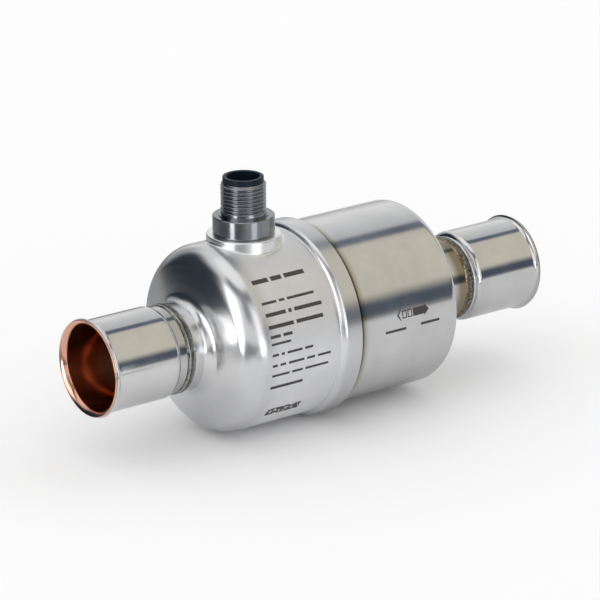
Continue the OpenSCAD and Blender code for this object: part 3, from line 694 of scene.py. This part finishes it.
class Nodes:
    """A node tree, with a short way to add each kind of node.

    What a node takes may be another node's socket or a plain number, vector or colour.
    """

    # The Mix node's inputs for values and for colours, its output for a colour, and MapRange's inputs
    MIX_VALUES = (2, 3)
    MIX_COLOURS = (6, 7)
    MIX_COLOUR_OUT = 2
    RANGE_INPUTS = ("Value", "From Min", "From Max", "To Min", "To Max")

    def __init__(self, tree):
        self.tree = tree

    def feed(self, socket, value):
        """Links an input to another node's socket, or sets it to a plain value."""
        if isinstance(value, bpy.types.NodeSocket):
            self.tree.links.new(value, socket)
        else:
            socket.default_value = value

    def add(self, kind, inputs=None, **settings):
        """A node with some of its settings and inputs given."""
        node = self.tree.nodes.new(f"ShaderNode{kind}")
        for key, value in settings.items():
            setattr(node, key, value)
        for key, value in (inputs or {}).items():
            self.feed(node.inputs[key], value)
        return node

    def calc(self, operation, *values):
        """The result of one operation on numbers."""
        return self.add("Math", dict(enumerate(values)), operation=operation).outputs[0]

    def vector(self, operation, *values):
        """The outputs of one operation on vectors."""
        return self.add("VectorMath", dict(enumerate(values)), operation=operation).outputs

    def parts(self, vector):
        """The three parts of a vector."""
        return self.add("SeparateXYZ", {0: vector}).outputs

    def angle(self, operation, *values):
        """An angle in degrees worked out from one or two numbers."""
        return self.calc("DEGREES", self.calc(operation, *values))

    def ramp(self, source, stops):
        """A colour ramp. Stops are (place, colour)."""
        node = self.add("ValToRGB", {"Fac": source})
        elements = node.color_ramp.elements
        while len(elements) < len(stops):
            elements.new(0.5)
        for element, (place, colour) in zip(elements, stops):
            element.position = place
            element.color = (*colour, 1.0)
        return node.outputs["Color"]

    def remap(self, *values, kind="LINEAR"):
        """A value carried from one range to another and held at its ends."""
        inputs = dict(zip(self.RANGE_INPUTS, values))
        return self.add("MapRange", inputs, interpolation_type=kind, clamp=True).outputs["Result"]

    def ease(self, source, first, last, start, stop):
        """A value led smoothly from one level to another."""
        return self.remap(source, first, last, start, stop, kind="SMOOTHSTEP")

    def rise(self, source, first, last):
        """A smooth climb from nothing to one."""
        return self.ease(source, first, last, 0.0, 1.0)

    def fall(self, source, first, last):
        """A smooth way down from one to nothing."""
        return self.ease(source, first, last, 1.0, 0.0)

    def band(self, source, start, full, hold, end):
        """A smooth climb from nothing to one and, further on, down again."""
        return self.calc("MULTIPLY", self.rise(source, start, full), self.fall(source, hold, end))

    def span(self, source, first, last, soft):
        """One between two limits and nothing outside them, with a soft edge at each end."""
        half = soft / 2
        return self.band(source, first - half, first + half, last - half, last + half)

    def mix(self, factor, first, second, blend="MIX"):
        """Two colours mixed by a factor."""
        node = self.add("Mix", {0: factor}, data_type="RGBA", blend_type=blend)
        for index, colour in zip(self.MIX_COLOURS, (first, second)):
            plain = isinstance(colour, tuple)
            self.feed(node.inputs[index], (*colour, 1.0) if plain else colour)
        return node.outputs[self.MIX_COLOUR_OUT]

    def blend(self, factor, first, second):
        """Two values mixed by a factor."""
        inputs = dict(zip((0, *self.MIX_VALUES), (factor, first, second)))
        return self.add("Mix", inputs, data_type="FLOAT").outputs[0]

    def shiny(self):
        """One for a ray that metal or glass sends out."""
        path = self.add("LightPath").outputs
        return self.calc("MAXIMUM", path["Is Glossy Ray"], path["Is Transmission Ray"])


class Look(Nodes):
    """The nodes of a new material, and the place on the object in millimetres."""

    # The stretch of a noise's values that its pattern fills
    NOISE_SPAN = (0.3, 0.7)

    def __init__(self, name, metallic=1.0):
        self.material = bpy.data.materials.new(name)
        self.material.use_nodes = True
        super().__init__(self.material.node_tree)
        self.shader = self.tree.nodes["Principled BSDF"].inputs
        self.shader["Metallic"].default_value = metallic
        inputs = {0: self.add("TexCoord").outputs["Object"], "Scale": 1 / MM}
        self.place = self.add("VectorMath", inputs, operation="SCALE").outputs["Vector"]
        self.x, self.y, _ = self.parts(self.place)

    def noise(self, scale, detail=4.0, roughness=0.55, stretch=(1, 1, 1)):
        """Noise over the object, its scale in cells a millimetre, stretched along the axes."""
        place = self.add("Mapping", {"Vector": self.place, "Scale": stretch}).outputs["Vector"]
        inputs = {"Vector": place, "Scale": scale, "Detail": detail, "Roughness": roughness}
        return self.add("TexNoise", inputs).outputs["Fac"]

    def tones(self, noise, dark, light, span=NOISE_SPAN):
        """A colour that goes from dark to light with a noise."""
        return self.ramp(noise, list(zip(span, (dark, light))))

    def vary(self, noise, low, high, span=NOISE_SPAN):
        """A value that goes from low to high with a noise."""
        return self.remap(noise, *span, low, high)

    def specks(self, noise, colour, span, tint):
        """A colour with small specks, where a noise is high, multiplied by a tint."""
        marks = self.ramp(noise, [(0.0, WHITE), (span[0], WHITE), (span[1], tint)])
        return self.mix(1.0, colour, marks, "MULTIPLY")

    def finish(self, colour, rough, height=None, strength=0.0, depth=0.0):
        """The material with a colour, a roughness and a bump of a given depth in millimetres."""
        self.feed(self.shader["Base Color"], colour)
        self.feed(self.shader["Roughness"], rough)
        if height is not None:
            inputs = {"Height": height, "Strength": strength, "Distance": depth * MM}
            self.feed(self.shader["Normal"], self.add("Bump", inputs).outputs["Normal"])
        return self.material


# Materials

# Tones as (dark, light)
BRIGHT_STEEL = ((0.71, 0.71, 0.708), (0.79, 0.79, 0.785))
SATIN_STEEL = ((0.70, 0.705, 0.715), (0.775, 0.775, 0.78))
TURNED_STEEL = ((0.25, 0.26, 0.28), (0.31, 0.32, 0.34))
DEEP_COPPER = ((0.78, 0.36, 0.20), (0.86, 0.43, 0.25))
INLET_LIP = ((0.74, 0.42, 0.31), (0.82, 0.50, 0.38))
# The outlet lip is the same copper as the inlet lip, darker as painted shade
OUTLET_LIP_SHADE = ((0.30, 0.17, 0.12), (0.40, 0.23, 0.16))
BLACK_PLASTIC = ((0.003, 0.009, 0.019), (0.006, 0.014, 0.027))
INK = ((0.030, 0.026, 0.024), (0.075, 0.066, 0.060))

# The stretch of noise that ink and weld patches use, and how glossy the black plastic is
INK_SPAN = (0.3, 0.75)
PATCH_SPAN = (0.25, 0.75)
PLASTIC_GLOSS = 0.2

# Roughness as (least, greatest), then the satin housing's on its dome, wall, boss and band
# and what its grain adds
SLEEVE_ROUGH = (0.09, 0.14)
CAN_ROUGH = (0.12, 0.17)
TURNED_ROUGH = (0.16, 0.21)
COPPER_ROUGH = (0.13, 0.19)
PLASTIC_ROUGH = (0.34, 0.46)
INK_ROUGH = (0.45, 0.65)
DOME_ROUGH = 0.2
WALL_ROUGH = 0.55
BOSS_ROUGH = 0.27
BAND_ROUGH = 0.24
GRAIN_ROUGH = (-0.03, 0.03)

# Specks: dark marks on bright steel and light pits in satin steel, by the noise they need
MARK_SPAN = (0.70, 0.76)
MARK_TINT = (0.8, 0.82, 0.86)
PIT_SPAN = (0.745, 0.775)
PIT_TINT = (1.1, 1.1, 1.1)

# The satin housing: how much paler its blasted wall is than its dome, the colour of its boss,
# and over what lengths one finish leads to the next
WALL_LIFT = (1.14, 1.14, 1.14)
BOSS_COLOUR = (0.94, 0.94, 0.94)
LIFT_LEN = 4.0
WALL_BLEND = 3.0
JOGGLE_BLEND = (JOGGLE_X - 1.2, JOGGLE_X + 0.4)
BOSS_BLEND = (BOSS_R + 0.2, BOSS_R + 1.6)
BOSS_SQUASH = (1, 1, 0.5)

# Copper takes its lip's tone between these distances from the valve's middle
MIDDLE_X = OUTLET_SOCKET_X / 2
LIP_BLEND = (MIDDLE_X - 1.0, MIDDLE_X + 0.4)

# Draw lines and turning marks, as stretches of a noise
DRAW_LINES = (0.05, 1, 1)
TURNING_MARKS = (0.06, 0.06, 5.0)

# Heat tints, one of them partly painted shade, as (colour, stations where it starts, is full, begins to
# fade and ends)
SEAM_TINT = ((0.46, 0.43, 0.32), BAND_END_X - 1.0, BAND_END_X, BAND_END_X + 1.4, BAND_END_X + 3.6)
# The dark line past the seam is partly weld burn and partly painted shade where the band's end meets the
# can
SEAM_BURN_AND_SHADE = ((0.10, 0.085, 0.055), BAND_END_X - 1.0, BAND_END_X, BAND_END_X + 1.2, BAND_END_X + 2.0)
NECK_TINT = (
    (0.32, 0.28, 0.20), OUTLET_JOINT_X - 6.0, OUTLET_JOINT_X - 2.8, OUTLET_JOINT_X, OUTLET_JOINT_X + 1.0)
INLET_TINT = (
    (0.60, 0.60, 0.595), SOCKET_DEPTH + 1.0, SOCKET_DEPTH + 2.0, INLET_JOINT_X, INLET_JOINT_X + 1.0)

# Heat colours across the welds as (place from 0 to 1, colour). The inlet bead's near-black stops, in its
# grooves, are partly heat colour and partly painted dark reflection.
INLET_BEAD_HEAT_AND_SHADE = (
    (0.0, (0.10, 0.10, 0.09)), (0.3, (0.54, 0.54, 0.52)),
    (0.55, (0.09, 0.09, 0.075)), (1.0, (0.56, 0.56, 0.55)),
)
OUTLET_BEAD_TONES = (
    (0.0, (0.34, 0.28, 0.17)), (0.25, (0.13, 0.10, 0.06)), (0.5, (0.26, 0.255, 0.245)),
    (0.75, (0.08, 0.083, 0.09)), (1.0, (0.20, 0.20, 0.205)),
)
SEAM_BEAD_TONES = ((0.0, (0.03, 0.026, 0.02)), (0.5, (0.09, 0.08, 0.05)), (1.0, (0.20, 0.18, 0.11)))


def polished_steel(name, rough, *tints):
    """Bright drawn steel with faint clouds, a few dark marks, fine draw lines and heat tints. A tint may be
    partly painted shade, as the can's dark line at the seam is.
    """
    look = Look(name)
    cloud = look.noise(scale=0.12, detail=3.0)
    lines = look.noise(scale=1.6, detail=5.0, stretch=DRAW_LINES)
    marks = look.noise(scale=3.2, detail=2.0)
    colour = look.specks(marks, look.tones(cloud, *BRIGHT_STEEL), MARK_SPAN, MARK_TINT)
    for tint, *stations in tints:
        colour = look.mix(look.band(look.x, *stations), colour, tint)
    return look.finish(colour, look.vary(cloud, *rough), lines, strength=0.12, depth=0.006)


def on_boss(look):
    """One on the connector boss and nothing on the rest of the front housing."""
    from_axis = look.vector("SUBTRACT", look.place, (CONNECTOR_X, 0, BODY_R))["Vector"]
    squashed = look.vector("MULTIPLY", from_axis, BOSS_SQUASH)["Vector"]
    return look.fall(look.vector("LENGTH", squashed)["Value"], *BOSS_BLEND)


def satin_steel(name):
    """Satin steel: smoother on the dome, the boss and the band, blasted where it is printed."""
    look = Look(name)
    cloud = look.noise(scale=0.09)
    grain = look.noise(scale=5.0, detail=6.0, roughness=0.65)
    pits = look.noise(scale=1.3, detail=1.0)
    boss = on_boss(look)
    colour = look.specks(pits, look.tones(cloud, *SATIN_STEEL), PIT_SPAN, PIT_TINT)
    blasted = look.band(look.x, KNUCKLE_X, KNUCKLE_X + LIFT_LEN, JOGGLE_X, BAND_X)
    colour = look.mix(blasted, colour, look.mix(1.0, colour, WALL_LIFT, "MULTIPLY"))
    colour = look.mix(boss, colour, BOSS_COLOUR)
    rough = look.ease(look.x, KNUCKLE_X - WALL_BLEND, KNUCKLE_X + WALL_BLEND, DOME_ROUGH, WALL_ROUGH)
    rough = look.blend(look.rise(look.x, *JOGGLE_BLEND), rough, BAND_ROUGH)
    rough = look.blend(boss, rough, BOSS_ROUGH)
    rough = look.calc("ADD", look.vary(grain, *GRAIN_ROUGH), rough)
    return look.finish(colour, rough, grain, strength=0.08, depth=0.01)


def weld_metal(name, first_x, last_x, tones, rough, drift, bump):
    """Weld metal whose heat colours, and any painted shade among them, run across the bead, drifting along
    it in patches.
    """
    look = Look(name)
    patches = look.noise(scale=0.8)
    across = look.remap(look.x, first_x, last_x, 0.0, 1.0)
    shifted = look.calc("ADD", across, look.vary(patches, -drift, drift, PATCH_SPAN))
    return look.finish(look.ramp(shifted, tones), look.vary(patches, *rough), patches, bump, depth=0.04)


def copper(name, lip_tones):
    """Copper with a lip in a tone of its own, warmer and a little stained deep in the socket. At the outlet
    the lip's darker tone is a painted shade of the same copper.
    """
    look = Look(name)
    stain = look.noise(scale=0.22, detail=3.0)
    from_middle = look.calc("ABSOLUTE", look.calc("SUBTRACT", look.x, MIDDLE_X))
    lip = look.rise(from_middle, *LIP_BLEND)
    colour = look.mix(lip, look.tones(stain, *DEEP_COPPER), look.tones(stain, *lip_tones))
    return look.finish(colour, look.vary(stain, *COPPER_ROUGH))


def turned_steel(name):
    """Turned steel with fine turning marks round an upright axis."""
    look = Look(name)
    colour = look.tones(look.noise(scale=0.4, detail=3.0), *TURNED_STEEL)
    marks = look.noise(scale=2.5, stretch=TURNING_MARKS)
    return look.finish(colour, look.vary(marks, *TURNED_ROUGH), marks, strength=0.02, depth=0.01)


def moulded_black(name):
    """Black moulded plastic with a fine spark-eroded grain and a faint blue cast."""
    look = Look(name, metallic=0.0)
    colour = look.tones(look.noise(scale=0.5, detail=2.0), *BLACK_PLASTIC)
    grain = look.noise(scale=6.0, detail=3.0)
    look.shader["Specular IOR Level"].default_value = PLASTIC_GLOSS
    return look.finish(colour, look.vary(grain, *PLASTIC_ROUGH), grain, strength=0.12, depth=0.02)


def printing_ink(name):
    """Dark grey-brown ink, a little uneven where it was laid thin."""
    look = Look(name, metallic=0.0)
    thin = look.noise(scale=2.2)
    colour = look.tones(thin, *INK, INK_SPAN)
    return look.finish(colour, look.vary(thin, *INK_ROUGH), thin, strength=0.1, depth=0.01)


def plain_finish(name, dark, light, metallic, rough, grain=1.5, bump=0.15, stretch=(1, 1, 1)):
    """A material whose colour, roughness and surface all vary with a fine grain."""
    look = Look(name, metallic)
    noise = look.noise(grain, stretch=stretch)
    return look.finish(look.tones(noise, dark, light), look.vary(noise, *rough), noise, bump, depth=0.02)


# Pieces, in the order that the random draws need

# Layers of a socket's wall as depths from its bore, and each end's shoulder turn and stub
SLEEVE = (LINER_T + BOND_GAP, WALL_T)
LINER = (0, LINER_T)
INLET = (INLET_TURN, INLET_STUB_LEN)
OUTLET = (OUTLET_TURN, OUTLET_STUB_LEN)

sleeve_steel = polished_steel("sleeve_steel", SLEEVE_ROUGH, INLET_TINT)
# The outlet lip's tones are painted shade on the same copper as the inlet's
for end, shape, lip_tones in (("inlet", INLET, INLET_LIP), ("outlet", OUTLET, OUTLET_LIP_SHADE)):
    layers = (
        ("sleeve", SLEEVE, sleeve_steel, "polished_steel"),
        ("liner", LINER, copper(f"{end}_copper", lip_tones), "copper"),
    )
    for layer, depths, look, slot in layers:
        outline = socket_outline(*depths, *shape)
        if end == "outlet":
            outline = [(r, OUTLET_SOCKET_X - x) for r, x in outline]
        add_piece(turned(f"{end}_{layer}_skin", outline), look, slot, f"{end}_{layer}")

add_piece(front_housing_mesh(), satin_steel("housing_steel"), "satin_steel", "front_housing")
can_outline = spread(can_face(0)) + spread(can_face(SHELL_T))[::-1]
# The can's tints include a dark line at the seam that is partly painted shade
can_steel = polished_steel("can_steel", CAN_ROUGH, SEAM_TINT, SEAM_BURN_AND_SHADE, NECK_TINT)
add_piece(turned("rear_can_skin", can_outline), can_steel, "polished_steel", "rear_can")

# Beads as (ridges across, depth of the grooves between them, depth of the ripples),
# and the looks of welds as (heat colours, with painted dark reflection in the inlet bead's grooves,
# roughness, drift of the colours, strength of the bump)
INLET_BEAD = (2, 0.85, 0.06)
OUTLET_BEAD = (1, 0.0, 0.45)
INLET_WELD = (INLET_BEAD_HEAT_AND_SHADE, (0.08, 0.14), 0.15, 0.03)
OUTLET_WELD = (OUTLET_BEAD_TONES, (0.16, 0.3), 0.25, 0.2)
SEAM_WELD = (SEAM_BEAD_TONES, (0.2, 0.35), 0.3, 0.1)
for end, joint_x, neck_r, form, finish in (
    ("inlet", INLET_JOINT_X, INLET_NECK_R, INLET_BEAD, INLET_WELD),
    ("outlet", OUTLET_JOINT_X, OUTLET_NECK_R, OUTLET_BEAD, OUTLET_WELD),
):
    look = weld_metal(f"{end}_bead", joint_x - BEAD_HALF, joint_x + BEAD_HALF, *finish)
    add_piece(weld_bead(f"{end}_weld_bead", joint_x, neck_r, *form), look, "weld_steel", f"{end}_weld")
seam_look = weld_metal("seam_bead", BAND_END_X, BAND_END_X + SEAM_LEG, *SEAM_WELD)
add_piece(turned("seam_weld_bead", seam_outline()), seam_look, "weld_steel", "seam_weld")

axis = (CONNECTOR_X, 0, 0)
shell = turned("connector_shell_skin", connector_outline(), about_z, radius_at=thread_radius)
add_piece(shell, turned_steel("connector_steel"), "turned_steel", "connector_shell", at=axis)
insert = turned("connector_insert_skin", insert_outline(), about_z)
add_piece(insert, moulded_black("connector_plastic"), "black_plastic", "connector_insert", at=axis)

ink = printing_ink("ink")
add_piece(housing_print_mesh(), ink, "black_plastic")
add_piece(can_print_mesh(), ink, "black_plastic")

# Finishes of the nodes that stay as they are, by material slot, as plain_finish takes them
INNER_FINISHES = {
    "polished_steel": ((0.62, 0.62, 0.62), (0.72, 0.72, 0.71), 1.0, (0.14, 0.24)),
    "turned_steel": ((0.46, 0.47, 0.48), (0.60, 0.61, 0.62), 1.0, (0.22, 0.36)),
    "bearing_steel": ((0.60, 0.60, 0.62), (0.70, 0.70, 0.71), 1.0, (0.10, 0.18)),
    "electrical_steel": (
        (0.20, 0.21, 0.23), (0.36, 0.37, 0.39), 1.0, (0.34, 0.5), 2.0, 0.3, (6.0, 0.2, 0.2)),
    "cast_aluminium": ((0.52, 0.53, 0.54), (0.66, 0.67, 0.68), 1.0, (0.32, 0.46)),
    "magnet": ((0.10, 0.10, 0.11), (0.18, 0.18, 0.19), 0.8, (0.4, 0.55), 3.0),
    "copper_winding": (
        (0.40, 0.15, 0.06), (0.66, 0.30, 0.14), 1.0, (0.25, 0.4), 2.5, 0.5, (0.2, 1.0, 4.0)),
    "gold_contact": ((0.72, 0.52, 0.20), (0.85, 0.66, 0.32), 1.0, (0.16, 0.26)),
    "sealing_glass": ((0.06, 0.12, 0.10), (0.14, 0.22, 0.19), 0.0, (0.06, 0.14)),
    "lead_sheath": ((0.36, 0.04, 0.03), (0.52, 0.09, 0.07), 0.0, (0.4, 0.55)),
    "black_rubber": ((0.015, 0.015, 0.016), (0.04, 0.04, 0.042), 0.0, (0.55, 0.7)),
    "white_polymer": ((0.72, 0.71, 0.67), (0.84, 0.83, 0.80), 0.0, (0.35, 0.5)),
    "valve_brass": ((0.55, 0.40, 0.16), (0.72, 0.56, 0.28), 1.0, (0.22, 0.34)),
}
inner_looks = {slot: plain_finish(f"inner_{slot}", *finish) for slot, finish in INNER_FINISHES.items()}
for subpart in frame["record"]["subparts"]:
    if subpart["node"] in replaced_nodes:
        continue
    node_mesh = frame["nodes"][subpart["node"]].data
    node_mesh.materials.clear()
    node_mesh.materials.append(inner_looks[subpart["material_slot"]])


# Camera at the photograph's viewing angle

AZIMUTH = math.radians(-37.152)
ELEVATION = math.radians(18.689)
ROLL = math.radians(-0.556)
DISTANCE = 1180.8
TARGET = (66.35, 0, 4.11)
LENS = 268.13
SENSOR_WIDTH = 36.0
CLIP_END = 20000.0

level = math.cos(ELEVATION)
back = Vector((math.sin(AZIMUTH) * level, -math.cos(AZIMUTH) * level, math.sin(ELEVATION)))
right = Vector((math.cos(AZIMUTH), math.sin(AZIMUTH), 0))
up = back.cross(right)
across = right * math.cos(ROLL) + up * math.sin(ROLL)
upward = up * math.cos(ROLL) - right * math.sin(ROLL)
camera_data = bpy.data.cameras.new("camera")
camera_data.lens = LENS
camera_data.sensor_width = SENSOR_WIDTH
camera_data.clip_end = CLIP_END * MM
camera = new_object("camera", camera_data)
camera_turn = Matrix((across, upward, back)).transposed().to_4x4()
camera.matrix_world = Matrix.Translation((Vector(TARGET) + back * DISTANCE) * MM) @ camera_turn
bpy.context.scene.camera = camera


# Studio: white light all round, a pale sheet on the floor, four lamps, and a room for metal to mirror

FLOOR_HALF = 6000.0
FLOOR_TONES = ((0.98704, 0.98704, 0.98704), (0.995, 0.995, 0.995))
FLOOR_ROUGH = 0.9
FLOOR_GLOSS = 0.1

# The sheet as metal sees it, at the inlet end and at the outlet end: greyer than the eye sees it and darker
# towards the outlet, as painted shadow
SHEET_SHADOW_TONES = ((0.84, 0.84, 0.845), (0.66, 0.66, 0.67))
SHEET_TONE_X = (30.0, 130.0)
# Its front edge, and where it runs on to the front the way the body and the inlet sleeve mirror it
SHEET_FADE = 40.0
SHEET_FRONT = (-105.0 - SHEET_FADE, -105.0)
RUN_ONS = ((38.0, 99.0), (-4.0, 19.0))
RUN_ON_SLANT = 0.695
RUN_ON_FADE = 10.0
# The table in front of it, out to these distances from the connector
FRONT_TONE = (0.42, 0.425, 0.435)
TABLE_REACH = (172.0, 212.0)
# Its left edge, its slanting edge behind the dome, and the table past them and far out to the right
SHEET_LEFT = (-35.0 - SHEET_FADE, -35.0)
BACK_EDGE = (30.0 - RUN_ON_FADE, 30.0)
BACK_SLANT = -0.757
BACK_FADE = (45.0, 150.0)
BACK_STRENGTH = 0.75
FAR_RIGHT_Y = (-480.0, -300.0)
FAR_RIGHT_X = (100.0, 200.0)
TABLE_TONE = (0.17, 0.175, 0.185)
FAR_BACK_TONE = (0.024, 0.034, 0.046)
FAR_BACK_Y = (150.0, 700.0)

# Panels of the room as (first and last azimuth, first and last elevation, softness, colour).
# Azimuth 0 is straight in front of the valve, -90 at its inlet end, -180 behind it.
ROOM_TONE = (0.78, 0.78, 0.79)
PANELS = (
    ((-400, 400), (62, 100), 6, WHITE),
    ((-96, 20), (49, 64), 7, (0.17, 0.175, 0.20)),
    ((-50, -22), (24, 60), 14, (0.28, 0.28, 0.31)),
    ((-198, -165), (-30, 34), 24, (0.36, 0.37, 0.39)),
    ((-174, -150), (-14, 38), 20, (0.014, 0.026, 0.040)),
    ((-168, -104), (-14, 45), 22, (0.010, 0.020, 0.032)),
)
# Long strips at the outlet end, as turns about the flow axis from straight in front
DARK_STRIP = (0.075, 0.092, 0.125)
BEIGE = (0.63, 0.595, 0.51)
THIN_LINE = (0.12, 0.145, 0.19)
STRIPS = (
    (0, DARK_STRIP), (14, DARK_STRIP), (26, BEIGE), (93, BEIGE), (96, THIN_LINE), (105, THIN_LINE),
    (108, (0.55, 0.56, 0.57)), (140, (0.74, 0.74, 0.75)), (160, (0.86, 0.86, 0.86)), (180, (0.5, 0.5, 0.5)),
)
# The panels lead over to the strips between these parts of a direction along the flow axis
STRIPS_X = (0.15, 0.4)

# Lamps on the floor as (name, place, direction they face, width and height, level of white)
LAMPS = (
    ("left_softbox", (-260.0, -50.0), (1, 0.1), (170.0, 300.0), 1.1),
    ("front_softbox", (30.0, -340.0), (0.1, 1), (130.0, 300.0), 0.45),
    ("left_strip", (-89.0, -29.0), (0.978, 0.208), (36.0, 40.0), 3.6),
    ("front_strip", (53.0, -140.0), (-0.035, 1), (50.0, 40.0), 1.3),
)
LAMP_LIFT = 5.0


def room_colour(nodes):
    """The room as metal sees it: panels and a ceiling at the inlet end, long strips at the outlet."""
    x, y, z = nodes.parts(nodes.add("TexCoord").outputs["Generated"])
    to_front = nodes.calc("MULTIPLY", y, -1.0)
    to_inlet = nodes.calc("MULTIPLY", x, -1.0)
    from_inlet = nodes.angle("ARCTAN2", to_front, to_inlet)
    azimuth = nodes.remap(from_inlet, -180.0, 180.0, -270.0, 90.0)
    elevation = nodes.angle("ARCSINE", z)
    inlet_end = ROOM_TONE
    for beside, height, soft, tone in PANELS:
        spans = nodes.span(azimuth, *beside, soft), nodes.span(elevation, *height, soft)
        inlet_end = nodes.mix(nodes.calc("MULTIPLY", *spans), inlet_end, tone)
    turn = nodes.remap(nodes.angle("ARCTAN2", z, to_front), 0.0, 180.0, 0.0, 1.0)
    outlet_end = nodes.ramp(turn, [(angle / 180, tone) for angle, tone in STRIPS])
    return nodes.mix(nodes.rise(x, *STRIPS_X), inlet_end, outlet_end)


def build_world():
    """White to the eye and plain soft light all round; metal and glass see the room in it."""
    world = bpy.data.worlds.new("studio")
    bpy.context.scene.world = world
    world.use_nodes = True
    world.node_tree.nodes.clear()
    nodes = Nodes(world.node_tree)
    seen = nodes.mix(nodes.shiny(), WHITE, room_colour(nodes))
    background = nodes.add("Background", {"Color": seen})
    nodes.add("OutputWorld", {"Surface": background.outputs[0]})


def slant(look, slope):
    """Where a slanting line through a point of the floor meets the valve's axis."""
    return look.calc("MULTIPLY_ADD", look.y, slope, look.x)


def past_front_edge(look):
    """One on the table in front of the sheet, near the connector and beside the sheet's run-ons."""
    past = look.fall(look.y, *SHEET_FRONT)
    for run_on in RUN_ONS:
        on_sheet = look.span(slant(look, RUN_ON_SLANT), *run_on, RUN_ON_FADE)
        past = look.calc("MULTIPLY", past, look.remap(on_sheet, 0.0, 1.0, 1.0, 0.0))
    spot = look.add("CombineXYZ", {"X": look.x, "Y": look.y}).outputs[0]
    reach = look.vector("DISTANCE", spot, (CONNECTOR_X, 0.0, 0.0))["Value"]
    return look.calc("MULTIPLY", past, look.fall(reach, *TABLE_REACH))


def past_other_edges(look):
    """One on the table left of the sheet, behind it and far out to the right."""
    left = look.fall(look.x, *SHEET_LEFT)
    right = look.calc("MULTIPLY", look.fall(look.y, *FAR_RIGHT_Y), look.rise(look.x, *FAR_RIGHT_X))
    behind = look.fall(slant(look, BACK_SLANT), *BACK_EDGE)
    back = look.calc("MULTIPLY", behind, look.ease(look.y, *BACK_FADE, 0.0, BACK_STRENGTH))
    return look.calc("MAXIMUM", look.calc("MAXIMUM", left, right), back)


def mirrored_floor(look):
    """The floor as metal sees it: the sheet in painted shadow, and the darker table past its edges."""
    sheet = look.mix(look.remap(look.x, *SHEET_TONE_X, 0.0, 1.0), *SHEET_SHADOW_TONES)
    front = look.mix(past_front_edge(look), sheet, FRONT_TONE)
    table = look.mix(look.rise(look.y, *FAR_BACK_Y), TABLE_TONE, FAR_BACK_TONE)
    return look.mix(past_other_edges(look), front, table)


def build_floor():
    """A pale sheet that the valve lies on; metal and glass see it as mirrored_floor has it."""
    half, z = FLOOR_HALF * MM, FLOOR_Z * MM
    mesh = bpy.data.meshes.new("floor")
    corners = [(-half, -half, z), (half, -half, z), (half, half, z), (-half, half, z)]
    mesh.from_pydata(corners, [], [(0, 1, 2, 3)])
    floor = new_object("floor", mesh)
    look = Look("floor", metallic=0.0)
    sheet = look.tones(look.noise(scale=0.5, detail=3.0), *FLOOR_TONES)
    look.shader["Specular IOR Level"].default_value = FLOOR_GLOSS
    mesh.materials.append(look.finish(look.mix(look.shiny(), sheet, mirrored_floor(look)), FLOOR_ROUGH))


def add_lamp(name, foot, facing, size, level):
    """A lamp on the floor for metal to mirror, its light given as a level of white.

    The world lights what isn't metal, so that the floor shows no edge of the lamps' light.
    """
    data = bpy.data.lights.new(name, "AREA")
    data.shape = "RECTANGLE"
    data.size, data.size_y = (side * MM for side in size)
    data.energy = level * math.pi * data.size * data.size_y
    lamp = new_object(name, data)
    lamp.location = Vector((*foot, FLOOR_Z + size[1] / 2 + LAMP_LIFT)) * MM
    lamp.rotation_euler = (-Vector((*facing, 0))).to_track_quat("Z", "Y").to_euler()
    lamp.visible_camera = False
    lamp.visible_diffuse = False


build_world()
build_floor()
for lamp_values in LAMPS:
    add_lamp(*lamp_values)

bpy.context.scene.view_settings.view_transform = "Standard"
